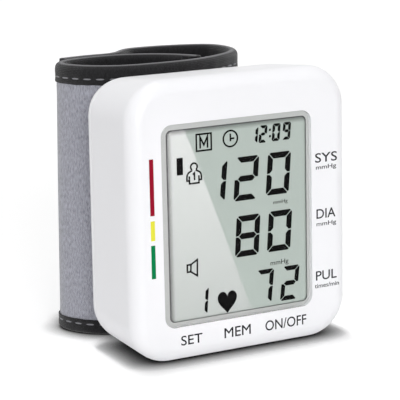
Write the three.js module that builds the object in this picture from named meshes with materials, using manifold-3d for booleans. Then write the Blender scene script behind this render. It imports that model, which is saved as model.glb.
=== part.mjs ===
// Wrist blood pressure monitor: a display unit that stands on its keys' edge, fixed to a preformed cuff
// which is closed on itself behind it.
// Millimetres. X runs to the right seen from the front, Y from the front face to the back, and Z up from
// the surface it stands on. The finished group is moved along Y so that its footprint is centred.

import * as THREE from 'three';
import { mergeVertices } from 'three/addons/utils/BufferGeometryUtils.js';
import Module from 'manifold-3d';

const wasm = await Module();
wasm.setup();

// Case: two shells that meet at a seam near the back.
const CASE_WIDTH = 65;
const CASE_HEIGHT = 74;
const CASE_DEPTH = 28;
const CASE_CORNER = 11;
const CASE_EDGE = 4.2;
const WALL = 1.8;
const FRONT_WALL = 2.5;
const REAR_SHELL_DEPTH = 4.4;
const SEAM_GAP = 0.2;

// Screws that hold the shells together, in from the sides and clear of the battery tray's ends.
const SCREW_INSET_X = 7.5;
const BOSS_TRAY_GAP = 1;
const BOSS_RADIUS = 2.6;
const BOSS_SETBACK = 1;
const PILOT_RADIUS = 1;
const SHANK_RADIUS = 0.75;
const SHANK_LENGTH = 11;
const HEAD_RADIUS = 2;
const HEAD_HEIGHT = 1.3;
const HEAD_SINK = 0.3;
const DRIVE_WIDTH = 0.5;
const DRIVE_REACH = 1.4;
const DRIVE_DEPTH = 0.65;

// Display: a lens flush with the front, its printed mask, and the glass panel behind.
const LENS_WIDTH = 44.6;
const LENS_HEIGHT = 53.2;
const LENS_THICKNESS = 1.3;
const LENS_CORNER = 3;
const LENS_DROP = 0.9;
const PANEL_CELL_GAP = 0.25;
const LENS_LEDGE = 1.2;
const MASK_BAND = 1.6;
const MASK_THICKNESS = 0.15;
const PANEL_MARGIN = 0.5;
const PANEL_THICKNESS = 2.4;
const PANEL_CONTACT_EDGE = 1.4;
const PANEL_CONTACT_INSET = 4.5;
const FRAME_THICKNESS = 2;
const FRAME_BAR = 4.4;
const STRIP_HEIGHT = 1.2;

// Circuit board and what sits on it.
const BOARD_THICKNESS = 1.6;
const BOARD_WALL_GAP = 0.7;
const BOARD_RISE = 5.2;
const POST_RADIUS = 1.4;
const POST_SPREAD = 12;
const POST_DROP = 0.35;
const STOP_LOW_Z = 14.6;
const STOP_DROP = 9.8;
const CHIP_SIZE = 10;
const CHIP_THICKNESS = 1.5;
const CHIP_X = 4;
const CHIP_Z = 22;
const SENSOR_SIZE = 8;
const SENSOR_THICKNESS = 3.4;
const SENSOR_X = 8;
const SPEAKER_RADIUS = 7.5;
const SPEAKER_DEPTH = 4.1;
const SPEAKER_RIM_DEPTH = 2;
const MAGNET_RADIUS = 3.8;
const SPEAKER_SIDE = 10.4;
const SPEAKER_DROP = 13.5;
const SPEAKER_RING = 1;
const GRILLE_HOLE = 0.9;
const GRILLE_RADIUS = 4;
const GRILLE_COUNT = 6;

// Keys in a channel of the standing edge, each with a switch on the board above it.
const KEY_NAMES = ['set', 'memory', 'power'];
const KEY_WIDTH = 10.5;
const KEY_DEPTH = 5;
const KEY_PITCH = 14.3;
const KEY_MIDDLE_X = -2.1;
const KEY_Y = 11;
const KEY_SINK = 0.4;
const KEY_TRAVEL = 0.6;
const KEY_FIT = 0.25;
const KEY_LIP = 0.8;
const CHANNEL_DEPTH = 1;
const CHANNEL_MARGIN = 1.2;
const CHANNEL_FLOOR = 1.8;
const SWITCH_WIDTH = 6;
const SWITCH_DEPTH = 3.6;
const SWITCH_HEIGHT = 4;
const SWITCH_RISE = 1.2;
const PLUNGER_RADIUS = 1.1;
const PLUNGER_LENGTH = 2.6;
const STEM_RADIUS = 1.5;

// Air system: pump, valve and sensor on one manifold that feeds the cuff's nozzle.
const AIR_Y = 16.4;
const AIR_RISE = 3.8;
const AIR_TUBE = 2.4;
const NIPPLE_RADIUS = 1.4;
const NIPPLE_LENGTH = 3.6;
const PUMP_WALL_GAP = 3.5;
const PUMP_FOOT_GAP = 2.6;
const MOTOR_RADIUS = 6;
const MOTOR_LENGTH = 17;
const HEAD_BODY_RADIUS = 6.2;
const HEAD_BODY_LENGTH = 12;
const CHAMBER_RADIUS = 4.6;
const CHAMBER_DEPTH = 6;
const SHAFT_RADIUS = 0.9;
const SHAFT_LENGTH = 10;
const CRANK_RADIUS = 2.8;
const CRANK_OFFSET = 0.9;
const CRANK_THICKNESS = 3;
const VALVE_X = -5;
const VALVE_Z = 14;
const VALVE_WIDTH = 11;
const VALVE_DEPTH = 10;
const VALVE_HEIGHT = 15;
const ARMATURE_RADIUS = 1.8;
const ARMATURE_LENGTH = 7.5;
const VALVE_TRAVEL = 0.6;
const NOZZLE_RADIUS = 2.4;
const NOZZLE_TAIL_RADIUS = 1.5;
const NOZZLE_TAIL = 3.4;
const NOZZLE_BORE = 0.9;
const CRADLE_THICKNESS = 1.2;
const CRADLE_HALF_WIDTH = 5;

// Two AAA cells side by side behind a door in the right side.
const CELL_RADIUS = 5.25;
const CELL_LENGTH = 44.5;
const CELL_NUB_RADIUS = 1.9;
const CELL_NUB_LENGTH = 0.9;
const CELL_GAP = 0.4;
const CELL_DOOR_GAP = 0.45;
const CELL_TRAY_GAP = 0.6;
const SPRING_HEIGHT = 3.7;
const SPRING_BASE_RADIUS = 4;
const SPRING_TOP_RADIUS = 1.8;
const SPRING_TURNS = 3;
const SPRING_WIRE = 0.3;
const SPRING_STEPS = 8;
const SPRING_SAMPLES = 60;
const CONTACT_THICKNESS = 0.4;
const CONTACT_SIZE = 8.6;
const TRAY_WALL = 1;
const TRAY_SIDE_REACH = 3.7;
const DOOR_THICKNESS = 1.5;
const DOOR_FIT = 0.25;
const DOOR_FRONT_MARGIN = 0.8;
const DOOR_TAB_WIDTH = 3;
const DOOR_TAB_REACH = 1.3;
const DOOR_TAB_THICKNESS = 0.5;
const DOOR_TAB_SPREAD = 3.9;
const DOOR_GROOVE_DEPTH = 0.4;
const DOOR_GROOVE_WIDTH = 0.9;
const DOOR_GROOVE_LENGTH = 8;
const DOOR_GROOVE_COUNT = 4;
const DOOR_GROOVE_PITCH = 2;
const DOOR_GROOVE_MARGIN = 3;

// Cuff: plies of a strap that stands on edge, from its outer face inwards.
const STRAP_HEIGHT = 74.2;
const STRAP_X = -3.7;
const FABRIC_THICKNESS = 0.6;
const CORE_THICKNESS = 0.35;
const BLADDER_THICKNESS = 0.5;
const LINING_THICKNESS = 0.45;
const PLY_GAP = 0.1;
const BINDING_HEIGHT = 5.2;
const BINDING_WALL = 0.35;
const BINDING_RIM = 0.5;
const BLADDER_MARGIN = 4;
const BLADDER_END = 12;
const SPLIT_GAP = 0.3;
const LAP_GAP = 0.3;
const STRAP_STEP = 3.6;

// The strap's plan, as arcs that bend towards the wrist, each with its radius and its turn in degrees. The
// right run goes to the flap's bend and the left run round to the tail's bend; the flap's last stretch
// lies on the lap.
const RIGHT_FRONT_RADIUS = 34;
const RIGHT_FRONT_TURN = 41;
const RIGHT_SIDE_RADIUS = 17;
const RIGHT_SIDE_TURN = 44;
const FLAP_ROOT_TURN = 18;
const FLAP_BEND_RADIUS = 8;
const FLAP_BEND_TURN = 45;
const FLAP_BACK_RADIUS = 32;
const FLAP_BACK_TURN = 38;
const FLAP_DIP = 6;
const LEFT_FRONT_RADIUS = 100;
const LEFT_FRONT_TURN = 5.5;
const LEFT_SIDE_RADIUS = 18.5;
const LEFT_SIDE_TURN = 69;
const LEFT_BEND_RADIUS = 7.5;
const LEFT_BEND_TURN = 84;
const LAP_RADIUS = 26;
const LAP_END_TURN = 11;
const LAP_PATCH_TURN = 16.5;
const AFTER_LAP_TURN = 10.5;
const TAIL_TURN = 41;
const TAIL_END_TURN = 11;

// Hooks on the flap's inner side, in from the edge bindings.
const HOOK_MARGIN = 4;

// Saddle between the case and the cuff.
const SADDLE_WIDTH = 28;
const SADDLE_HEIGHT = 50;
const SADDLE_THINNEST = 1.4;
const SADDLE_PEG_RADIUS = 2;
const SADDLE_PEG_SPREAD = 17;
const STUD_RADIUS = 1.5;
const STUD_SPREAD = 6;
const STUD_LENGTH = 1.2;

// Clearances: FIT beside a piece, SEAT under it, and RUN round what turns or is round.
const FIT = 0.15;
const SEAT = 0.1;
const RUN = 0.3;

// Facets.
const CORNER_STEPS = 4;
const EDGE_STEPS = 4;
const WIRE_STEPS = 3;
const ROUND_SIDES = 20;
const SMALL_SIDES = 12;

// How far a cut runs past a face, and the length of one that runs right through.
const REACH = 2;
const THROUGH = 120;

// Places that follow from the sizes above.
const CASE_MIDDLE_Z = CASE_HEIGHT / 2;
const LENS_Z = CASE_MIDDLE_Z - LENS_DROP;
const SEAM_Y = CASE_DEPTH - REAR_SHELL_DEPTH;
const FRONT_SHELL_END = SEAM_Y - SEAM_GAP / 2;
const REAR_SHELL_START = SEAM_Y + SEAM_GAP / 2;
const REAR_INNER_Y = CASE_DEPTH - WALL;
const SCREW_X = CASE_WIDTH / 2 - SCREW_INSET_X;
const SPEAKER_X = SPEAKER_SIDE - SCREW_X;
const SPEAKER_Z = CASE_HEIGHT - SPEAKER_DROP;
const SCREW_SEAT_Y = CASE_DEPTH - HEAD_SINK - HEAD_HEIGHT - SEAT;
const BOSS_END_Y = FRONT_SHELL_END - BOSS_SETBACK;

const MASK_FRONT_Y = LENS_THICKNESS + SEAT / 2;
const LENS_RECESS = MASK_FRONT_Y + MASK_THICKNESS + SEAT / 2;
const PANEL_FRONT_Y = FRONT_WALL + SEAT;
const PANEL_BACK_Y = PANEL_FRONT_Y + PANEL_THICKNESS;
const PANEL_WIDTH = LENS_WIDTH - 2 * MASK_BAND + 2 * PANEL_MARGIN;
const PANEL_HEIGHT = LENS_HEIGHT - 2 * MASK_BAND + 2 * PANEL_MARGIN;
const FRAME_TOP_Z = LENS_Z + PANEL_HEIGHT / 2 + PANEL_CONTACT_EDGE + RUN;
const POST_HIGH_Z = (FRAME_TOP_Z + CASE_HEIGHT - WALL) / 2 - POST_DROP;
const BOARD_HIGH_Z = POST_HIGH_Z + POST_RADIUS;
const FRAME_FRONT_Y = PANEL_BACK_Y + SEAT;
const FRAME_BACK_Y = FRAME_FRONT_Y + FRAME_THICKNESS;
const BOARD_FRONT_Y = FRAME_BACK_Y + SEAT;
const BOARD_BACK_Y = BOARD_FRONT_Y + BOARD_THICKNESS;
const ON_BOARD_Y = BOARD_BACK_Y + SEAT / 2;

const CELL_X = CASE_WIDTH / 2 - DOOR_THICKNESS - CELL_DOOR_GAP - CELL_RADIUS;
const FRONT_CELL_Y = FRONT_WALL + RUN + CELL_RADIUS;
const REAR_CELL_Y = FRONT_CELL_Y + 2 * CELL_RADIUS + CELL_GAP;
const LENS_X = CELL_X - CELL_RADIUS - PANEL_CELL_GAP - PANEL_WIDTH / 2;
const CONTACT_STACK = SEAT + CONTACT_THICKNESS + SEAT;
const BAY_LENGTH = 2 * CONTACT_STACK + SPRING_HEIGHT + FIT + CELL_LENGTH;
const BAY_LOW_Z = CASE_MIDDLE_Z - BAY_LENGTH / 2;
const BAY_HIGH_Z = CASE_MIDDLE_Z + BAY_LENGTH / 2;
const BAY_LEFT_X = CELL_X - CELL_RADIUS - CELL_TRAY_GAP;
const TRAY_RIGHT_X = CELL_X + TRAY_SIDE_REACH;
const SCREW_LOW_Z = BAY_LOW_Z - TRAY_WALL - BOSS_TRAY_GAP - BOSS_RADIUS;
const SCREW_HIGH_Z = BAY_HIGH_Z + TRAY_WALL + BOSS_TRAY_GAP + BOSS_RADIUS;
const BOARD_RIGHT_X = BAY_LEFT_X - TRAY_WALL - BOARD_WALL_GAP;
const DOOR_LOW_Z = BAY_LOW_Z - RUN;
const DOOR_HIGH_Z = BAY_HIGH_Z + RUN;
const DOOR_FRONT_Y = CASE_EDGE + DOOR_FRONT_MARGIN;
const DOOR_BACK_Y = FRONT_SHELL_END - SEAT;
const DOOR_INNER_X = CASE_WIDTH / 2 - DOOR_THICKNESS;
const CASE_ROUND = Math.min(CASE_CORNER, DOOR_LOW_Z - DOOR_FIT);

const PUMP_X = WALL + PUMP_WALL_GAP + HEAD_BODY_RADIUS - CASE_WIDTH / 2;
const SWITCH_Z = BOARD_RISE + SWITCH_RISE;
const PUMP_Z = Math.max(SCREW_LOW_Z + BOSS_RADIUS, SWITCH_Z + SWITCH_HEIGHT) + PUMP_FOOT_GAP;
const PUMP_TOP = PUMP_Z + MOTOR_LENGTH + SEAT + HEAD_BODY_LENGTH;
const AIR_Z = PUMP_TOP + NIPPLE_LENGTH + AIR_RISE;

const CHANNEL_TOP = CHANNEL_DEPTH + CHANNEL_FLOOR;
const KEY_LIP_Z = CHANNEL_TOP + SEAT;
const KEY_LIP_TOP = KEY_LIP_Z + KEY_LIP;
const PLUNGER_Z = SWITCH_Z - PLUNGER_LENGTH / 2;
const STEM_TOP = PLUNGER_Z - RUN;
const SWITCH_Y = ON_BOARD_Y + SWITCH_DEPTH / 2;

const RIGHT_ARCS = [[RIGHT_FRONT_RADIUS, RIGHT_FRONT_TURN], [RIGHT_SIDE_RADIUS, RIGHT_SIDE_TURN]];
const FLAP_ARCS = [[RIGHT_SIDE_RADIUS, FLAP_ROOT_TURN], [FLAP_BEND_RADIUS, FLAP_BEND_TURN],
  [FLAP_BACK_RADIUS, FLAP_BACK_TURN]];
const LEFT_ARCS = [[LEFT_FRONT_RADIUS, LEFT_FRONT_TURN], [LEFT_SIDE_RADIUS, LEFT_SIDE_TURN],
  [LEFT_BEND_RADIUS, LEFT_BEND_TURN]];
const STRAP_THICKNESS = FABRIC_THICKNESS + CORE_THICKNESS + BLADDER_THICKNESS + LINING_THICKNESS
  + 3 * PLY_GAP;
const BINDING_PROUD = PLY_GAP + BINDING_WALL;
const LAP_OFFSET = STRAP_THICKNESS + 2 * BINDING_PROUD + LAP_GAP;
const SADDLE_FRONT_Y = CASE_DEPTH + FIT;
const STRAP_Y = SADDLE_FRONT_Y + SADDLE_THINNEST + RUN;

// Finishes.
const FINISH = {
  white: { color: 0xf3f3f6, roughness: 0.25, metalness: 0 },
  lens: { color: 0xd9e2dd, roughness: 0.05, metalness: 0 },
  mask: { color: 0xc0c4c0, roughness: 0.5, metalness: 0 },
  panel: { color: 0xb8c4bd, roughness: 0.2, metalness: 0 },
  grey: { color: 0x8d9096, roughness: 0.5, metalness: 0 },
  rubber: { color: 0x3a3b3f, roughness: 0.8, metalness: 0 },
  board: { color: 0x1f6b45, roughness: 0.5, metalness: 0 },
  chip: { color: 0x202226, roughness: 0.5, metalness: 0 },
  steel: { color: 0xb9bcc2, roughness: 0.3, metalness: 1 },
  tube: { color: 0xe6e2da, roughness: 0.6, metalness: 0 },
  cell: { color: 0x2d4f8f, roughness: 0.35, metalness: 0 },
  fabric: { color: 0x7c7f8c, roughness: 0.95, metalness: 0 },
  black: { color: 0x17171a, roughness: 0.9, metalness: 0 },
};

// A closed solid made from a geometry, ready to be joined or cut.
function solid(geometry) {
  const bare = geometry.clone();
  bare.deleteAttribute('normal');
  bare.deleteAttribute('uv');
  const merged = mergeVertices(bare, 1e-4);
  const corners = Array.from(merged.index.array);
  const triangles = [];
  for (let i = 0; i < corners.length; i += 3) {
    const [a, b, c] = corners.slice(i, i + 3);
    if (a !== b && b !== c && c !== a) triangles.push(a, b, c);
  }
  return new wasm.Manifold(new wasm.Mesh({
    numProp: 3,
    vertProperties: new Float32Array(merged.attributes.position.array),
    triVerts: new Uint32Array(triangles),
  }));
}

function join(first, ...others) {
  return others.reduce((whole, other) => whole.add(other), first);
}

function cut(first, ...others) {
  return others.reduce((whole, other) => whole.subtract(other), first);
}

// A named piece of the object with its finish.
function piece(name, body, finish) {
  const { vertProperties, triVerts } = body.getMesh();
  const geometry = new THREE.BufferGeometry();
  geometry.setAttribute('position', new THREE.BufferAttribute(new Float32Array(vertProperties), 3));
  geometry.setIndex(new THREE.BufferAttribute(new Uint32Array(triVerts), 1));
  geometry.computeVertexNormals();
  const mesh = new THREE.Mesh(geometry, new THREE.MeshStandardMaterial(FINISH[finish]));
  mesh.name = name;
  return mesh;
}

function roundedRectangle(width, height, corner) {
  const x = width / 2 - corner;
  const y = height / 2 - corner;
  const shape = new THREE.Shape();
  shape.absarc(x, y, corner, 0, Math.PI / 2);
  shape.absarc(-x, y, corner, Math.PI / 2, Math.PI);
  shape.absarc(-x, -y, corner, Math.PI, 1.5 * Math.PI);
  shape.absarc(x, -y, corner, 1.5 * Math.PI, 2 * Math.PI);
  shape.closePath();
  return shape;
}

// A flat outline in X and Z given thickness from y0 to y1, with its middle at (x, z).
function plate(shape, x, z, y0, y1) {
  const geometry = new THREE.ExtrudeGeometry(shape, {
    depth: y1 - y0, bevelEnabled: false, curveSegments: CORNER_STEPS,
  });
  return solid(geometry.rotateX(Math.PI / 2).translate(x, y1, z));
}

// A flat outline in X and Y raised from z0 to z1.
function prism(shape, x, y, z0, z1) {
  const geometry = new THREE.ExtrudeGeometry(shape, {
    depth: z1 - z0, bevelEnabled: false, curveSegments: CORNER_STEPS,
  });
  return solid(geometry.translate(x, y, z0));
}

// A block with round corners seen from the front and round edges at its front and back.
function roundedBlock(width, height, corner, edge, y0, y1) {
  const geometry = new THREE.ExtrudeGeometry(roundedRectangle(width, height, corner), {
    depth: y1 - y0 - 2 * edge, curveSegments: CORNER_STEPS,
    bevelEnabled: true, bevelSize: edge, bevelThickness: edge, bevelOffset: -edge,
    bevelSegments: EDGE_STEPS,
  });
  return solid(geometry.rotateX(Math.PI / 2).translate(0, y1 - edge, CASE_MIDDLE_Z));
}

function box(x0, x1, y0, y1, z0, z1) {
  const geometry = new THREE.BoxGeometry(x1 - x0, y1 - y0, z1 - z0);
  return solid(geometry.translate((x0 + x1) / 2, (y0 + y1) / 2, (z0 + z1) / 2));
}

// Rods along each axis, given by their cross position, radius and ends.
function rodY(x, z, radius, y0, y1, sides = SMALL_SIDES) {
  const geometry = new THREE.CylinderGeometry(radius, radius, y1 - y0, sides);
  return solid(geometry.translate(x, (y0 + y1) / 2, z));
}

function rodZ(x, y, radius, z0, z1, sides = SMALL_SIDES) {
  const geometry = new THREE.CylinderGeometry(radius, radius, z1 - z0, sides);
  return solid(geometry.rotateX(Math.PI / 2).translate(x, y, (z0 + z1) / 2));
}

function rodX(y, z, radius, x0, x1, sides = SMALL_SIDES) {
  const geometry = new THREE.CylinderGeometry(radius, radius, x1 - x0, sides);
  return solid(geometry.rotateZ(Math.PI / 2).translate((x0 + x1) / 2, y, z));
}

const SCREW_PLACES = [[-SCREW_X, SCREW_LOW_Z], [SCREW_X, SCREW_LOW_Z], [-SCREW_X, SCREW_HIGH_Z],
  [SCREW_X, SCREW_HIGH_Z]];
const POST_PLACES = [-POST_SPREAD, POST_SPREAD].flatMap((x) => [BOARD_RISE + POST_RADIUS,
  POST_HIGH_Z].map((z) => [x, z]));
const KEY_PLACES = KEY_NAMES.map((name, i) => KEY_MIDDLE_X + (i - 1) * KEY_PITCH);
const PEG_PLACES = [-SADDLE_PEG_SPREAD, SADDLE_PEG_SPREAD].map((z) => [STRAP_X, CASE_MIDDLE_Z + z]);
const STUD_PLACES = [-STUD_SPREAD, STUD_SPREAD].map((z) => [STRAP_X, CASE_MIDDLE_Z + z]);

function caseBlock() {
  return roundedBlock(CASE_WIDTH, CASE_HEIGHT, CASE_ROUND, CASE_EDGE, 0, CASE_DEPTH);
}

function caseHollow() {
  return roundedBlock(CASE_WIDTH - 2 * WALL, CASE_HEIGHT - 2 * WALL, CASE_ROUND - WALL,
    CASE_EDGE - WALL, FRONT_WALL, REAR_INNER_Y);
}

// Everything of the case in front of or behind the seam.
function caseSlice(y0, y1) {
  return box(-THROUGH, THROUGH, y0, y1, -THROUGH, THROUGH);
}

function frontCase() {
  const shell = cut(caseBlock().intersect(caseSlice(-REACH, FRONT_SHELL_END)), caseHollow());
  const channelWidth = 2 * KEY_PITCH + KEY_WIDTH + 2 * CHANNEL_MARGIN;
  const channelDepth = KEY_DEPTH + 2 * CHANNEL_MARGIN;
  const keyFloor = box(KEY_MIDDLE_X - channelWidth / 2 - WALL, KEY_MIDDLE_X + channelWidth / 2 + WALL,
    KEY_Y - channelDepth / 2 - WALL, KEY_Y + channelDepth / 2 + WALL, WALL / 2, CHANNEL_TOP);
  const bosses = SCREW_PLACES.map(([x, z]) => rodY(x, z, BOSS_RADIUS, FRONT_WALL / 2, BOSS_END_Y));
  const posts = POST_PLACES.map(([x, z]) => rodY(x, z, POST_RADIUS, FRONT_WALL / 2, BOARD_FRONT_Y - SEAT));
  const solidShell = join(shell, keyFloor, ...bosses, ...posts);

  const recess = plate(roundedRectangle(LENS_WIDTH + 2 * FIT, LENS_HEIGHT + 2 * FIT, LENS_CORNER + FIT),
    LENS_X, LENS_Z, -REACH, LENS_RECESS);
  const window = plate(roundedRectangle(LENS_WIDTH - 2 * LENS_LEDGE, LENS_HEIGHT - 2 * LENS_LEDGE,
    LENS_CORNER - LENS_LEDGE), LENS_X, LENS_Z, 0, FRONT_WALL + REACH);
  const pilots = SCREW_PLACES.map(([x, z]) => rodY(x, z, PILOT_RADIUS,
    SCREW_SEAT_Y - SHANK_LENGTH - RUN, BOSS_END_Y + REACH));
  const channel = prism(roundedRectangle(channelWidth, channelDepth, channelDepth / 2),
    KEY_MIDDLE_X, KEY_Y, -REACH, CHANNEL_DEPTH);
  const keyHoles = KEY_PLACES.map((x) => prism(roundedRectangle(KEY_WIDTH + 2 * KEY_FIT,
    KEY_DEPTH + 2 * KEY_FIT, KEY_DEPTH / 2 + KEY_FIT), x, KEY_Y, -REACH, CHANNEL_TOP + REACH));
  const doorway = box(DOOR_INNER_X - REACH, CASE_WIDTH / 2 + REACH, DOOR_FRONT_Y - DOOR_FIT,
    CASE_DEPTH, DOOR_LOW_Z - DOOR_FIT, DOOR_HIGH_Z + DOOR_FIT);
  return cut(solidShell, recess, window, ...pilots, channel, ...keyHoles, doorway);
}

// Ribs with a round bed for the pump, and flat ones behind the valve.
function airCradles() {
  const bedBack = REAR_INNER_Y + WALL / 2;
  const pumpRibs = [PUMP_Z + MOTOR_LENGTH / 4, PUMP_Z + 3 * MOTOR_LENGTH / 4,
    PUMP_Z + MOTOR_LENGTH + HEAD_BODY_LENGTH / 2].map((z) => box(PUMP_X - CRADLE_HALF_WIDTH,
    PUMP_X + CRADLE_HALF_WIDTH, AIR_Y + MOTOR_RADIUS / 2, bedBack, z, z + CRADLE_THICKNESS));
  const bed = rodZ(PUMP_X, AIR_Y, HEAD_BODY_RADIUS + RUN, 0, CASE_HEIGHT, ROUND_SIDES);
  const valveRibs = [VALVE_Z + VALVE_HEIGHT / 4, VALVE_Z + 3 * VALVE_HEIGHT / 4].map((z) => box(
    VALVE_X - VALVE_WIDTH / 4, VALVE_X + VALVE_WIDTH / 4, AIR_Y + VALVE_DEPTH / 2 + RUN, bedBack,
    z, z + CRADLE_THICKNESS));
  return [...pumpRibs.map((rib) => cut(rib, bed)), ...valveRibs];
}

function rearCase() {
  const shell = cut(caseBlock().intersect(caseSlice(REAR_SHELL_START, CASE_DEPTH + REACH)), caseHollow());
  const sleeves = SCREW_PLACES.map(([x, z]) => rodY(x, z, BOSS_RADIUS, BOSS_END_Y + SEAT,
    REAR_INNER_Y + WALL / 2));
  const ring = cut(
    rodY(SPEAKER_X, SPEAKER_Z, SPEAKER_RADIUS + RUN + SPEAKER_RING, REAR_INNER_Y - SPEAKER_DEPTH,
      REAR_INNER_Y + WALL / 2, ROUND_SIDES),
    rodY(SPEAKER_X, SPEAKER_Z, SPEAKER_RADIUS + RUN, 0, REAR_INNER_Y, ROUND_SIDES),
  );
  const boardStops = [STOP_LOW_Z, CASE_HEIGHT - STOP_DROP].map((z) => rodY(POST_SPREAD, z, POST_RADIUS,
    BOARD_BACK_Y + SEAT, REAR_INNER_Y + WALL / 2));
  const solidShell = join(shell, ...sleeves, ring, ...boardStops, ...airCradles());

  const screwHoles = SCREW_PLACES.flatMap(([x, z]) => [
    rodY(x, z, PILOT_RADIUS, 0, CASE_DEPTH + REACH),
    rodY(x, z, HEAD_RADIUS + RUN, SCREW_SEAT_Y, CASE_DEPTH + REACH),
  ]);
  const grille = Array.from({ length: GRILLE_COUNT }, (_, i) => (2 * Math.PI * i) / GRILLE_COUNT).map(
    (angle) => rodY(SPEAKER_X + GRILLE_RADIUS * Math.cos(angle), SPEAKER_Z + GRILLE_RADIUS * Math.sin(angle),
      GRILLE_HOLE, REAR_INNER_Y - REACH / 2, CASE_DEPTH + REACH));
  const pegHoles = PEG_PLACES.map(([x, z]) => rodY(x, z, SADDLE_PEG_RADIUS + RUN, REAR_INNER_Y - REACH / 2,
    CASE_DEPTH + REACH));
  const nozzleHole = rodY(STRAP_X, AIR_Z, NOZZLE_RADIUS + RUN, REAR_INNER_Y - REACH / 2, CASE_DEPTH + REACH);
  return cut(solidShell, ...screwHoles, ...grille, ...pegHoles, nozzleHole);
}

// A cross-headed screw with its axis on the group's Y axis.
function caseScrew() {
  const headTop = CASE_DEPTH - HEAD_SINK;
  const head = rodY(0, 0, HEAD_RADIUS, SCREW_SEAT_Y + SEAT, headTop);
  const shank = rodY(0, 0, SHANK_RADIUS, SCREW_SEAT_Y - SHANK_LENGTH, headTop - HEAD_HEIGHT / 2);
  const half = DRIVE_WIDTH / 2;
  const floor = headTop - DRIVE_DEPTH;
  const cross = join(box(-DRIVE_REACH, DRIVE_REACH, floor, headTop + REACH, -half, half),
    box(-half, half, floor, headTop + REACH, -DRIVE_REACH, DRIVE_REACH));
  return cut(join(head, shank), cross);
}

function shells() {
  const group = new THREE.Group();
  group.add(piece('front_case', frontCase(), 'white'));
  group.add(piece('rear_case', rearCase(), 'white'));
  SCREW_PLACES.forEach(([x, z], i) => {
    const screw = piece(`case_screw_${i + 1}`, caseScrew(), 'steel');
    screw.position.set(x, 0, z);
    group.add(screw);
  });
  return group;
}

function display() {
  const group = new THREE.Group();
  group.position.set(LENS_X, 0, LENS_Z);
  const lens = roundedRectangle(LENS_WIDTH, LENS_HEIGHT, LENS_CORNER);
  group.add(piece('display_lens', plate(lens, 0, 0, 0, LENS_THICKNESS), 'lens'));

  const maskBack = MASK_FRONT_Y + MASK_THICKNESS;
  const opening = roundedRectangle(LENS_WIDTH - 2 * MASK_BAND, LENS_HEIGHT - 2 * MASK_BAND,
    LENS_CORNER - MASK_BAND);
  group.add(piece('display_mask', cut(plate(lens, 0, 0, MASK_FRONT_Y, maskBack),
    plate(opening, 0, 0, 0, maskBack + REACH)), 'mask'));

  const halfWidth = PANEL_WIDTH / 2;
  const halfHeight = PANEL_HEIGHT / 2;
  const contactHalf = halfWidth - PANEL_CONTACT_INSET;
  const middleY = (PANEL_FRONT_Y + PANEL_BACK_Y) / 2;
  const contactHigh = halfHeight + PANEL_CONTACT_EDGE;
  group.add(piece('lcd_panel', join(
    box(-halfWidth, halfWidth, PANEL_FRONT_Y, PANEL_BACK_Y, -halfHeight, halfHeight),
    box(-contactHalf, contactHalf, middleY, PANEL_BACK_Y, 0, contactHigh)), 'panel'));

  const barHalf = halfWidth - FRAME_BAR;
  const stripHigh = contactHigh - SEAT;
  const stripLow = stripHigh - STRIP_HEIGHT;
  const frame = cut(
    box(-halfWidth + FIT, halfWidth - FIT, FRAME_FRONT_Y, FRAME_BACK_Y, -halfHeight, contactHigh + RUN),
    box(-barHalf, barHalf, 0, FRAME_BACK_Y + REACH, FRAME_BAR - halfHeight, halfHeight - FRAME_BAR),
    box(-contactHalf - FIT, contactHalf + FIT, 0, FRAME_BACK_Y + REACH, stripLow - FIT, stripHigh + FIT),
  );
  group.add(piece('lcd_frame', frame, 'grey'));
  group.add(piece('contact_strip', box(-contactHalf, contactHalf, FRAME_FRONT_Y - SEAT / 2,
    FRAME_BACK_Y + SEAT / 2, stripLow, stripHigh), 'rubber'));
  return group;
}

function electronics() {
  const group = new THREE.Group();
  const corner = CASE_ROUND - WALL - BOARD_WALL_GAP;
  const width = CASE_WIDTH - 2 * WALL - 2 * BOARD_WALL_GAP;
  const board = plate(roundedRectangle(width, BOARD_HIGH_Z - BOARD_RISE, corner), 0,
    (BOARD_HIGH_Z + BOARD_RISE) / 2, BOARD_FRONT_Y, BOARD_BACK_Y);
  const leftPart = box(-THROUGH, BOARD_RIGHT_X, 0, CASE_DEPTH, 0, CASE_HEIGHT);
  const bossNotches = SCREW_PLACES.map(([x, z]) => rodY(x, z, BOSS_RADIUS + RUN, 0, CASE_DEPTH));
  group.add(piece('main_board', cut(board.intersect(leftPart), ...bossNotches), 'board'));

  const chipHalf = CHIP_SIZE / 2;
  group.add(piece('processor_chip', box(CHIP_X - chipHalf, CHIP_X + chipHalf, ON_BOARD_Y,
    ON_BOARD_Y + CHIP_THICKNESS, CHIP_Z - chipHalf, CHIP_Z + chipHalf), 'chip'));

  const sensorHalf = SENSOR_SIZE / 2;
  const sensorBack = ON_BOARD_Y + SENSOR_THICKNESS;
  group.add(piece('pressure_sensor', join(
    box(SENSOR_X - sensorHalf, SENSOR_X + sensorHalf, ON_BOARD_Y, sensorBack, AIR_Z - sensorHalf,
      AIR_Z + sensorHalf),
    rodY(SENSOR_X, AIR_Z, NIPPLE_RADIUS, sensorBack - SEAT, AIR_Y - SEAT)), 'chip'));

  const speakerBack = REAR_INNER_Y - RUN;
  group.add(piece('speaker', join(
    rodY(SPEAKER_X, SPEAKER_Z, SPEAKER_RADIUS, speakerBack - SPEAKER_RIM_DEPTH, speakerBack, ROUND_SIDES),
    rodY(SPEAKER_X, SPEAKER_Z, MAGNET_RADIUS, speakerBack - SPEAKER_DEPTH, speakerBack - SEAT,
      ROUND_SIDES)), 'chip'));
  return group;
}

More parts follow.
